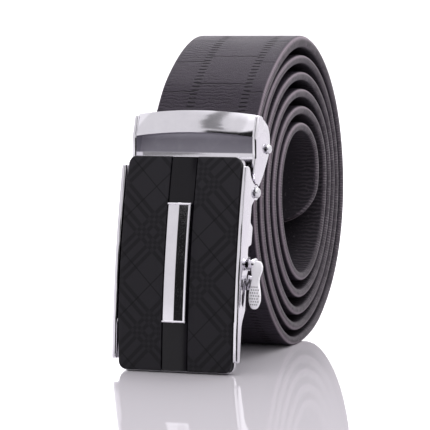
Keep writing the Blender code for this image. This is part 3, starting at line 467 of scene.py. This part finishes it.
relief = creases * 0.5 + pebble.smooth(0.0, 0.2) * 0.3 - emboss * 1.1 - wrinkles * 0.6
# The cut edge was milled in fine cross ridges, here and there; where they show, their crests get a
# painted highlight
ridges = (along / RIDGE_PITCH + wander * 0.5).math("FRACT").between(0.3, 0.7, 0.18)
ridges = ridges * uneven.smooth(0.35, 0.60)
relief = relief * (1.0 - cut_edge) + (edge_grain * 0.35 + ridges * 0.45) * cut_edge
bump = sheet.add("Bump", None, {"Height": relief, "Strength": 0.95, "Distance": 0.17 * MM})
# The grain's hollows are darker: partly the leather's own tone, partly painted shade in the creases
# and between the pebbles
shade = creases.smooth(0.3, 0.7) * 0.5 + pebble.smooth(0.0, 0.2) * 0.3
colour = shade.blend((0.0065, 0.0044, 0.0088, 1.0), (0.025, 0.0185, 0.030, 1.0))
colour = (emboss * 0.9).blend(colour, (0.002, 0.0018, 0.0024, 1.0))
speck = sheet.add("TexNoise", None, {"Vector": place, "Scale": 1.3, "Detail": 2.0})
speck = speck.smooth(0.64, 0.72)
colour = (inner_face * 0.7).blend(colour, (0.005, 0.005, 0.006, 1.0))
colour = (wrinkles * 0.35).blend(colour, (0.10, 0.085, 0.10, 1.0))
colour = (speck * inner_face * 0.35).blend(colour, (0.12, 0.115, 0.12, 1.0))
# The edge paint's lilac, lighter towards the outer face and darker towards the inner one: a painted
# highlight on the outer corner and painted shade towards the gaps between windings
edge_paint_and_highlight = out.smooth(0.1, 1.2).blend((0.030, 0.025, 0.029, 1.0), (0.250, 0.207, 0.238, 1.0))
# Painted highlight on the ridges' crests
edge_paint_and_highlight = (ridges * 0.30).blend(edge_paint_and_highlight, (0.30, 0.26, 0.29, 1.0))
colour = cut_edge.blend(colour, edge_paint_and_highlight)
feed(sheet, shader, "Base Color", colour)
feed(sheet, shader, "Roughness", 0.50 + creases * 0.14 + emboss * 0.2 - cut_edge * 0.16)
feed(sheet, shader, "Normal", bump)

strap = make_strap(leather)
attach(strap, "belt")
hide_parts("strap")


# Ratchet track
# A toothed nylon strip sewn to the inner face of the free end, moulded in black.
track_nylon, sheet, shader = finish("track_nylon", (0.018, 0.018, 0.019), 0.45)
place = sheet.add("TexCoord", None, None, 3)
mottle = sheet.add("TexNoise", None, {"Vector": place, "Scale": 900.0, "Detail": 3.0})
dye = mottle.blend((0.014, 0.014, 0.015, 1.0), (0.028, 0.028, 0.030, 1.0))
feed(sheet, shader, "Base Color", dye)
feed(sheet, shader, "Roughness", 0.35 + mottle * 0.25)
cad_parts["ratchet_track"].data.materials.clear()
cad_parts["ratchet_track"].data.materials.append(track_nylon)


# Chrome castings
# The clamp frame, the jaw, the buckle frame and the lever are zinc castings with their edges
# tumbled round, polished and plated.
chrome, sheet, shader = finish("polished_chrome", (0.80, 0.79, 0.83), 0.10, 1.0)
place = sheet.add("TexCoord", None, None, 3)
haze = sheet.add("TexNoise", None,
                 {"Vector": place, "Scale": 260.0, "Detail": 4.0, "Roughness": 0.6})
ripple = sheet.add("TexNoise", None, {"Vector": place, "Scale": 700.0, "Detail": 2.0})
window_painted_shade = sheet.add("Attribute", {"attribute_name": "window_painted_shade"}, None, 2)
# The ledge at the window's foot stays polished; above it the window gets a painted shade: the metal
# is made dull, dark grey and barely metallic, standing in for the shade and dark reflections in the
# recess
LEDGE_TOP = (63.7, 64.1)
tall = sheet.add("SeparateXYZ", None, {0: place}, 2) * 1000.0
window_painted_shade = window_painted_shade * tall.smooth(*LEDGE_TOP)
window_shade_mix = window_painted_shade * (0.85 + haze * 0.3)
feed(sheet, shader, "Roughness", 0.05 + haze * 0.10 + window_painted_shade * 0.35)
feed(sheet, shader, "Metallic", 1.0 - window_painted_shade * 0.9)
plating = haze.blend((0.66, 0.645, 0.69, 1.0), (0.76, 0.745, 0.78, 1.0))
# Base colour: the plating, blended towards dark grey as painted shade inside the window
feed(sheet, shader, "Base Color", window_shade_mix.math("MINIMUM", 1.0).blend(plating, (0.25, 0.24, 0.28, 1.0)))
bump = sheet.add("Bump", None, {"Height": ripple, "Strength": 0.06, "Distance": 0.05 * MM})
feed(sheet, shader, "Normal", bump)


MERGE_DISTANCE = 0.002 * MM
FLAT_ANGLE = math.radians(0.2)
SHARP_ANGLE = math.radians(32.0)


def tumbled(node, body, edge, cut_at=None):
    """A copy of a casting, its triangles merged and sharp edges rounded, cut off beyond an X."""
    piece = bpy.data.objects.new(node + "_cast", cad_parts[node].data.copy())
    scene.collection.objects.link(piece)
    work = bmesh.new()
    work.from_mesh(piece.data)
    bmesh.ops.remove_doubles(work, verts=work.verts, dist=MERGE_DISTANCE)
    bmesh.ops.dissolve_limit(work, angle_limit=FLAT_ANGLE, verts=work.verts, edges=work.edges)
    if cut_at is not None:
        bmesh.ops.bisect_plane(work, geom=[*work.verts, *work.edges, *work.faces], clear_outer=True,
                               plane_co=(cut_at, 0.0, 0.0), plane_no=(1.0, 0.0, 0.0))
        bmesh.ops.holes_fill(work, edges=[side for side in work.edges if side.is_boundary], sides=0)
    work.to_mesh(piece.data)
    work.free()
    piece.data.materials.clear()
    piece.data.materials.append(chrome)
    piece.data.shade_smooth()
    bevel = piece.modifiers.new("edge", "BEVEL")
    bevel.width = edge
    bevel.segments = 3
    bevel.limit_method = "ANGLE"
    bevel.angle_limit = SHARP_ANGLE
    bevel.use_clamp_overlap = True
    bevel.harden_normals = True
    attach(piece, body)
    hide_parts(node)
    return piece


clamp = tumbled("clamp_frame", "belt", 0.18 * MM)
# The keeper bar's edges arch up towards the middle, and the faces inside the clamp's window are
# marked for a painted shade
KEEPER_REAR = -31.5 * MM
KEEPER_FOOT = 69.0 * MM
KEEPER_MIDDLE = 73.0 * MM
KEEPER_HALF = 19.6 * MM
# How far each edge is raised at its ends, and how much more in the middle, in mm
KEEPER_UPPER = (0.50, 0.25)
KEEPER_LOWER = (-0.35, 1.05)
for vertex in clamp.data.vertices:
    if vertex.co.z > KEEPER_FOOT and vertex.co.y < KEEPER_REAR:
        swell = 1.0 - (vertex.co.x / KEEPER_HALF) ** 2
        ends, arch = KEEPER_UPPER if vertex.co.z > KEEPER_MIDDLE else KEEPER_LOWER
        vertex.co.z += (ends + arch * swell) * MM
WINDOW_HALF = 17.0 * MM
WINDOW_TOP = 68.5 * MM
BACKING_FRONT = -31.2 * MM
BACKING_TOP = 72.0 * MM
# Mask for the painted shade: faces within the window's width below its top, or behind the backing's
# front and below its top
inside = clamp.data.attributes.new("window_painted_shade", "FLOAT", "CORNER")
for face in clamp.data.polygons:
    x, y, z = face.center
    if abs(x) < WINDOW_HALF and (z < WINDOW_TOP or (y > BACKING_FRONT and z < BACKING_TOP)):
        for corner in face.loop_indices:
            inside.data[corner].value = 1.0
tumbled("clamp_jaw", "belt", 0.12 * MM)
tumbled("buckle_frame", "buckle", 0.14 * MM)
LEVER_CUT = 21.2 * MM
tumbled("release_lever", "lever", 0.15 * MM, LEVER_CUT)


# Pins
# Three steel rivets, their heads domed by the setting tool, which leaves a small dimple.
PIN_SEAT = 20.9 * MM
PIN_HEAD = 0.9 * MM
JAW_PIN = (-26.666 * MM, 64.519 * MM)
HINGE_PIN = (-36.506 * MM, 52.517 * MM)
LEVER_PIN = (-43.273 * MM, 31.810 * MM)
LEVER_PIN_END = 22.0 * MM
pin_steel, sheet, shader = finish("pin_steel", (0.62, 0.62, 0.64), 0.18, 1.0)
place = sheet.add("TexCoord", None, None, 3)
haze = sheet.add("TexNoise", None, {"Vector": place, "Scale": 600.0, "Detail": 3.0})
feed(sheet, shader, "Roughness", 0.10 + haze * 0.16)
feed(sheet, shader, "Base Color", haze.blend((0.55, 0.55, 0.57, 1.0), (0.75, 0.75, 0.77, 1.0)))


def turned(name, centre, profile, material):
    """A turned piece along X: each (x, radius) of the profile is swept round the centre (y, z)."""
    x, radius = np.array(profile).T
    angle = np.linspace(0.0, 2.0 * np.pi, 48, endpoint=False)
    grid = np.empty((len(x), len(angle), 3))
    grid[..., 0] = x[:, None]
    grid[..., 1] = centre[0] + radius[:, None] * np.cos(angle)
    grid[..., 2] = centre[1] + radius[:, None] * np.sin(angle)
    return grid_piece(name, grid, material)


def rivet(name, centre, shank, head, right_end=None):
    """A rivet's profile: shank, a quarter-ellipse dome at each headed end, and a dimple."""
    angle = np.linspace(0.0, 0.5 * np.pi, 9)
    dome = [(PIN_SEAT + PIN_HEAD * math.sin(turn), 0.30 * head + 0.70 * head * math.cos(turn))
            for turn in angle]
    dimple = [(PIN_SEAT + 0.96 * PIN_HEAD, 0.22 * head), (PIN_SEAT + 0.55 * PIN_HEAD, 0.10 * head)]
    ending = [(PIN_SEAT, shank), *dome, *dimple]
    left = [(-x, radius) for x, radius in reversed(ending)]
    profile = left + (ending if right_end is None else [(right_end, shank)])
    return turned(name, centre, profile, pin_steel)


for node, body, centre, shank, head, right_end in (
        ("jaw_pin", "belt", JAW_PIN, 0.6 * MM, 1.5 * MM, None),
        ("hinge_pin", "belt", HINGE_PIN, 1.0 * MM, 1.65 * MM, None),
        ("lever_pin", "buckle", LEVER_PIN, 0.8 * MM, 1.4 * MM, LEVER_PIN_END)):
    piece = rivet(node + "_rivet", centre, shank, head, right_end)
    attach(piece, body)
    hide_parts(node)


# Face plate
# A pressed plate with black satin lacquer and a tone-on-tone check printed on it.
FACE_FOOT = -55.65 * MM
FACE_RADIUS = 290.0 * MM
FACE_LENGTH = 65.0 * MM
FACE_FOOT_LEAN = math.radians(5.9)
FACE_HALF_WIDTH = 18.5 * MM
FACE_BOW = 0.5 * MM
FACE_CORNER = 2.5 * MM
FACE_THICKNESS = 1.5 * MM
FACE_EDGE = 0.55 * MM
BASE_MARGIN = 0.3 * MM
FRAME_REAR = 3.0 * MM
CHANNEL_HALF = 4.4 * MM
CHANNEL_FLOOR = 1.15 * MM


def on_face(x, along, behind):
    """Points of the face: an arc in the side view, at a distance up it and behind it."""
    lean = FACE_FOOT_LEAN + along / FACE_RADIUS
    centre_y = FACE_FOOT + FACE_RADIUS * math.cos(FACE_FOOT_LEAN)
    centre_z = -(FACE_RADIUS - FRAME_REAR) * math.sin(FACE_FOOT_LEAN - BASE_MARGIN / FACE_RADIUS)
    radius = FACE_RADIUS - behind
    y, z = centre_y - radius * np.cos(lean), centre_z + radius * np.sin(lean)
    return np.stack(np.broadcast_arrays(x, y, z), axis=-1)


def rounded_off(inset, radius):
    """How far a quarter round falls back at an inset d from its end: r - sqrt(r^2 - (r - d)^2)."""
    short = np.clip(radius - inset, 0.0, radius)
    return radius - np.sqrt(np.clip(radius ** 2 - short ** 2, 0.0, None))


def make_face_plate(material):
    """The plate: rows up the arc, columns from the back of one edge round the front to the other.

    Its sides bow out as a parabola, and its corners and its edges are quarter rounds.
    """
    turn = np.linspace(0.0, 0.5 * np.pi, 6)
    ends = FACE_CORNER * (1.0 - np.cos(np.linspace(0.0, 0.5 * np.pi, 14)))
    straight = np.linspace(FACE_CORNER, FACE_LENGTH - FACE_CORNER, 60)[1:-1]
    along = np.concatenate((ends, straight, FACE_LENGTH - ends[::-1]))
    middle = 0.5 * FACE_LENGTH
    from_end = np.minimum(along, FACE_LENGTH - along)
    half = FACE_HALF_WIDTH + FACE_BOW * (1.0 - ((along - middle) / middle) ** 2)
    half = half - rounded_off(from_end, FACE_CORNER)
    end_drop = rounded_off(from_end, FACE_EDGE)
    edge_in = FACE_EDGE * (1.0 - np.cos(turn))
    edge_behind = FACE_EDGE * (1.0 - np.sin(turn))
    flat = np.linspace(1.0, 0.0, 12)[1:]
    # Columns of the right half, from the back edge to the channel's middle
    inset = np.concatenate(((0.0,), edge_in, np.zeros(len(flat) + 3)))
    share = np.concatenate((np.ones(1 + len(edge_in)), flat, np.zeros(3)))
    behind = np.concatenate(((FACE_THICKNESS,), edge_behind, np.zeros(len(flat)),
                             (CHANNEL_FLOOR,) * 3))
    channel = np.concatenate((np.zeros(1 + len(edge_in)), np.full(len(flat), CHANNEL_HALF),
                              (CHANNEL_HALF, CHANNEL_HALF * 0.5, 0.0)))
    x = channel + (half[:, None] - inset[None, :] - FACE_EDGE * (share < 1.0) - channel) * share
    x = np.maximum(x, channel)
    depth = np.maximum(behind[None, :], np.minimum(end_drop[:, None], FACE_THICKNESS))
    x_all = np.concatenate((x, -x[:, -2::-1]), axis=1)
    depth_all = np.concatenate((depth, depth[:, -2::-1]), axis=1)
    grid = on_face(x_all, along[:, None], depth_all)
    piece = grid_piece("face_plate_skin", grid, material)
    piece.data.set_sharp_from_angle(angle=math.radians(50.0))
    attribute(piece, "across", x_all)
    attribute(piece, "up", np.repeat(along, x_all.shape[1]))
    return piece


black_lacquer, sheet, shader = finish("black_lacquer", (0.012, 0.012, 0.013), 0.42,
                                      Specular_IOR_Level=0.15)
across = sheet.add("Attribute", {"attribute_name": "across"}, None, 2) * 1000.0
up_face = sheet.add("Attribute", {"attribute_name": "up"}, None, 2) * 1000.0
CHECK_PITCH = 21.0
CHECK_RIBS = ((0.5, 1.7), (2.7, 3.9), (6.0, 7.2), (8.2, 9.4))
CHECK_HAIRLINE = (14.6, 14.95)
rising = (across + up_face) * math.sqrt(0.5)
falling = (up_face - across) * math.sqrt(0.5)


def stripes(position, pitch, phase):
    """A check's stripes: two pairs of ribs, and a hairline in the wide gap between the pairs."""
    share = (position / pitch + phase).math("FRACT") * pitch
    ribs = share.between(*CHECK_RIBS[0], 0.08)
    for rib in CHECK_RIBS[1:]:
        ribs = ribs + share.between(*rib, 0.08)
    return ribs, share.between(*CHECK_HAIRLINE, 0.06)


ribs_up, hair_up = stripes(rising, CHECK_PITCH, 0.12)
ribs_down, hair_down = stripes(falling, CHECK_PITCH, 0.55)
crossing = ribs_up * ribs_down
check = (ribs_up + ribs_down - crossing * 1.6) * 0.6 + (hair_up + hair_down) * 0.8
check = check.math("MINIMUM", 1.0)
place = sheet.add("TexCoord", None, None, 3)
orange_peel = sheet.add("TexNoise", None, {"Vector": place, "Scale": 1400.0, "Detail": 2.0})
ink = check.blend((0.0175, 0.0165, 0.0200, 1.0), (0.0045, 0.0043, 0.0055, 1.0))
feed(sheet, shader, "Base Color", ink)
feed(sheet, shader, "Roughness", 0.46 - check * 0.10 + orange_peel * 0.06)
bump = sheet.add("Bump", None, {"Height": orange_peel * 0.3 + check * 0.5, "Strength": 0.15,
                                "Distance": 0.04 * MM})
feed(sheet, shader, "Normal", bump)
face_plate = make_face_plate(black_lacquer)
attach(face_plate, "buckle")
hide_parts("face_plate")


# Centre strip
# A glossy enamelled strip let into the face, a hair below it.
STRIP_HALF = 4.1 * MM
STRIP_SINK = 0.25 * MM
STRIP_THICKNESS = 0.6 * MM
STRIP_BOW = 0.12 * MM
STRIP_END = 0.2 * MM
STRIP_CHAMFER = 0.12 * MM
gloss_enamel, sheet, shader = finish("gloss_enamel", (0.004, 0.004, 0.0045), 0.06,
                                     Specular_IOR_Level=0.22)
place = sheet.add("TexCoord", None, None, 3)
haze = sheet.add("TexNoise", None, {"Vector": place, "Scale": 300.0, "Detail": 3.0})
feed(sheet, shader, "Roughness", 0.05 + haze * 0.06)
enamel = haze.blend((0.0028, 0.0022, 0.0040, 1.0), (0.0055, 0.0046, 0.0072, 1.0))
feed(sheet, shader, "Base Color", enamel)
# Each row runs from the back of the left side round the bowed front to the back of the right one
rows = np.linspace(STRIP_END, FACE_LENGTH - STRIP_END, 60)
share = np.linspace(-1.0, 1.0, 11)
front_x = share * (STRIP_HALF - STRIP_CHAMFER)
front_behind = STRIP_SINK - STRIP_BOW * (1.0 - share ** 2)
side_behind = np.array((STRIP_SINK + STRIP_THICKNESS, STRIP_SINK + STRIP_CHAMFER))
section_x = np.concatenate(((-STRIP_HALF,) * 2, front_x, (STRIP_HALF,) * 2))
section_behind = np.concatenate((side_behind, front_behind, side_behind[::-1]))
strip_grid = on_face(section_x[None, :], rows[:, None], section_behind[None, :])
centre_strip = grid_piece("centre_strip_enamel", strip_grid, gloss_enamel)
centre_strip.data.set_sharp_from_angle(angle=math.radians(30.0))
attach(centre_strip, "buckle")
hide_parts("centre_strip")


# Inlay
# A chromed bar clipped onto the strip: two polished facets meet in a ridge, so that one mirrors
# the light and the other the dark, with a rounded rim at both ends and along the right side.
INLAY_START = 14.6 * MM
INLAY_END = 50.6 * MM
INLAY_HALF = 3.8 * MM
INLAY_BACK = -0.05 * MM
INLAY_FRONT = -1.15 * MM
INLAY_RIM = 0.36 * MM
INLAY_END_RIM = 0.62 * MM
INLAY_VALLEY = -0.62 * MM
INLAY_RIDGE = -1.04 * MM
RIM_RISE = 0.3 * MM
RIM_STEP = 0.05 * MM
LEFT_CHAMFER = 0.12 * MM
LEFT_SIDE = -0.5 * MM
FACET_START = 0.8 * MM
rim_turn = np.linspace(0.0, np.pi, 9)
rim_in = 0.5 * INLAY_RIM * (1.0 - np.cos(rim_turn))
rim_base = INLAY_FRONT + RIM_RISE
# Across a row, as x and depth: the right rim, the right facet up to the ridge, and the left facet
# down to the edge
right_x = np.linspace(INLAY_HALF - INLAY_RIM, 0.0, 7)[1:]
right_behind = np.linspace(INLAY_VALLEY, INLAY_RIDGE, 7)[1:]
left_x = np.linspace(0.0, -INLAY_HALF + LEFT_CHAMFER, 11)[1:]
left_behind = np.linspace(INLAY_RIDGE, INLAY_VALLEY, 11)[1:]
inlay_x = np.concatenate(((INLAY_HALF,), INLAY_HALF - rim_in, right_x, left_x,
                          (-INLAY_HALF, -INLAY_HALF)))
inlay_behind = np.concatenate(((INLAY_BACK,), rim_base - RIM_RISE * np.sin(rim_turn), right_behind,
                               left_behind, (LEFT_SIDE, INLAY_BACK)))
end_in = np.concatenate((rim_in * INLAY_END_RIM / INLAY_RIM, (INLAY_END_RIM + RIM_STEP,)))
facet_rows = np.linspace(INLAY_START + FACET_START, INLAY_END - FACET_START, 24)
inlay_rows = np.concatenate((INLAY_START + end_in, facet_rows, (INLAY_END - end_in)[::-1]))
from_end = np.minimum(inlay_rows - INLAY_START, INLAY_END - inlay_rows)
end_half = 0.5 * INLAY_END_RIM
end_round = np.sqrt(np.clip(1.0 - ((from_end - end_half) / end_half) ** 2, 0.0, 1.0))
on_rim = (from_end <= INLAY_END_RIM)[:, None]
rim_depth = np.minimum(inlay_behind[None, :], (rim_base - RIM_RISE * end_round)[:, None])
inlay_depth = np.where(on_rim, rim_depth, inlay_behind[None, :])
inlay_depth[:, (0, -1)] = INLAY_BACK
inlay_grid = on_face(inlay_x[None, :], inlay_rows[:, None], inlay_depth)
inlay = grid_piece("accent_inlay_chrome", inlay_grid, chrome)
inlay.data.set_sharp_from_angle(angle=math.radians(9.0))
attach(inlay, "buckle")
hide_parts("accent_inlay")


# Thumb tab
# The outer end of the release lever: a rolled hook on the pin, a short arm, and a bone-shaped
# tab that is domed in front and studded for grip.
LEVER_UP_FACE = 33.2 * MM
LEVER_LEAN = FACE_FOOT_LEAN + LEVER_UP_FACE / FACE_RADIUS
TAB_MIDDLE = 23.3 * MM
TAB_FRONT = 1.9 * MM
TAB_SHOULDER = 0.5 * MM
TAB_THICKNESS = 0.9 * MM
TAB_ROWS = np.array((
    # up, half width, dome, sideways, in mm
    (0.95, 0.35, 0.10, 0.50),
    (0.75, 0.95, 0.25, 0.48),
    (0.30, 1.40, 0.34, 0.44),
    (-0.60, 1.75, 0.40, 0.38),
    (-1.60, 1.85, 0.42, 0.32),
    (-2.70, 1.62, 0.40, 0.24),
    (-3.80, 1.32, 0.38, 0.12),
    (-4.90, 1.22, 0.36, 0.04),
    (-6.20, 1.40, 0.38, 0.00),
    (-7.80, 1.75, 0.42, 0.00),
    (-9.40, 1.92, 0.46, 0.04),
    (-11.00, 1.90, 0.46, 0.08),
    (-12.20, 1.55, 0.40, 0.08),
    (-13.10, 1.05, 0.30, 0.04),
    (-13.50, 0.40, 0.12, 0.00),
))


def beside_lever(x, up, behind):
    """Points at a distance up from the lever's axis and behind it, along the leaning face."""
    y = LEVER_PIN[0] + up * math.sin(LEVER_LEAN) + behind * math.cos(LEVER_LEAN)
    z = LEVER_PIN[1] + up * math.cos(LEVER_LEAN) - behind * math.sin(LEVER_LEAN)
    return np.stack(np.broadcast_arrays(x, y, z), axis=-1)


def tab_row(up):
    """The tab's half width, dome and sideways shift at a height, read between its listed rows."""
    known = TAB_ROWS[::-1]
    return [np.interp(up, known[:, 0] * MM, known[:, column] * MM) for column in (1, 2, 3)]


def on_tab(up, share):
    """The tab's front at a height and a share of its half width: flat, then rounded at the side."""
    half, dome, side = tab_row(up)
    rise = dome * np.sqrt(np.maximum(1.0 - np.abs(share) ** 3.5, 0.0))
    front = -(TAB_FRONT - TAB_SHOULDER) - rise
    return beside_lever(TAB_MIDDLE + side + half * share, up, front)


# The tab's satin metal is made near-white and barely metallic, so its bright look is partly
# painted: a painted reflection in place of what it would mirror
satin_painted_bright, sheet, shader = finish("satin_chrome_painted_bright", (0.80, 0.79, 0.83), 0.3, 0.2)
place = sheet.add("TexCoord", None, None, 3)
haze = sheet.add("TexNoise", None, {"Vector": place, "Scale": 900.0, "Detail": 3.0})
feed(sheet, shader, "Base Color", haze.blend((0.88, 0.87, 0.90, 1.0), (0.98, 0.97, 1.0, 1.0)))
feed(sheet, shader, "Roughness", 0.24 + haze * 0.14)
listed = np.linspace(0.0, 1.0, len(TAB_ROWS))
tab_up = (np.interp(np.linspace(0.0, 1.0, 60), listed, TAB_ROWS[:, 0]) * MM)[:, None]
around = np.linspace(0.0, np.pi, 19)
front_half = on_tab(tab_up, np.cos(around)[None, :])
half, _, side = tab_row(tab_up)
back_x = TAB_MIDDLE + side + half * np.cos(around)[::-1][None, 1:-1]
back_behind = -(TAB_FRONT - TAB_SHOULDER) + TAB_THICKNESS * np.sin(around)[None, 1:-1] ** 0.5
back_half = beside_lever(back_x, tab_up, back_behind)
tab = grid_piece("thumb_tab", np.concatenate((front_half, back_half), axis=1), satin_painted_bright)

# Studs: small domes set in staggered rows, sunk a little into the tab's front and coloured near
# black, a painted shade for the tab's knurl
STUD_ROWS = 7
STUD_TOP = -6.9
STUD_PITCH = 0.88
STUD_SHARES = (-0.60, -0.20, 0.20, 0.60)
STUD_RADIUS = 0.19 * MM
STUD_HEIGHT = 0.16 * MM
STUD_SINK = 0.03 * MM
STUD_STAGGER = 0.1
stud_rings = np.linspace(0.0, 0.5 * np.pi, 4)[:-1, None]
stud_turn = np.linspace(0.0, 2.0 * np.pi, 10, endpoint=False)
ring, lift = STUD_RADIUS * np.cos(stud_rings), STUD_HEIGHT * np.sin(stud_rings)
stud_dome = np.broadcast_arrays(ring * np.cos(stud_turn), -lift, ring * np.sin(stud_turn))
dome_grid = np.stack(stud_dome, axis=-1)
stud_points, stud_faces = [], []
for row in range(STUD_ROWS):
    shift = STUD_STAGGER if row % 2 else -STUD_STAGGER
    for share in STUD_SHARES:
        centre = on_tab((STUD_TOP - STUD_PITCH * row) * MM, share + shift)
        stud_faces += tube_faces(len(stud_rings), len(stud_turn), len(stud_points))
        stud_points += (centre + dome_grid + (0.0, STUD_SINK, 0.0)).reshape(-1, 3).tolist()
# Near-black metal: painted shade on the knurl's studs
knurl_painted_shade, sheet, shader = finish("knurl_painted_shade", (0.04, 0.04, 0.045), 0.3, 1.0)
place = sheet.add("TexCoord", None, None, 3)
haze = sheet.add("TexNoise", None, {"Vector": place, "Scale": 1200.0, "Detail": 2.0})
feed(sheet, shader, "Roughness", 0.22 + haze * 0.2)
stud_piece = mesh_piece("grip_studs", np.array(stud_points), stud_faces, knurl_painted_shade)

# The hook is turned round the pin from this profile of x and radius in mm
HOOK_PROFILE = np.array(((20.95, 1.2), (20.95, 1.75), (21.1, 1.9), (22.5, 1.9), (22.8, 1.75),
                         (22.9, 1.3)))
hook = turned("lever_hook", LEVER_PIN, HOOK_PROFILE * MM, chrome)

# The arm is a short bar along X whose section is a superellipse below the pin
ARM_UP, ARM_REACH_UP = -5.6 * MM, 2.1 * MM
ARM_BEHIND, ARM_REACH_BEHIND = -0.55 * MM, 0.8 * MM
ARM_POWER = 0.6
arm_turn = np.linspace(0.0, 2.0 * np.pi, 24, endpoint=False)
wave_up, wave_behind = np.cos(arm_turn), np.sin(arm_turn)
arm_up = ARM_UP + ARM_REACH_UP * np.sign(wave_up) * np.abs(wave_up) ** ARM_POWER
arm_behind = ARM_BEHIND + ARM_REACH_BEHIND * np.sign(wave_behind) * np.abs(wave_behind) ** ARM_POWER
arm_x = np.array((21.0, 21.3, 22.4, 22.9)) * MM
arm_grid = beside_lever(arm_x[:, None], arm_up[None, :], arm_behind[None, :])
arm = grid_piece("lever_arm", arm_grid, chrome)
for piece in (tab, stud_piece, hook, arm):
    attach(piece, "lever")
    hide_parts("release_lever")
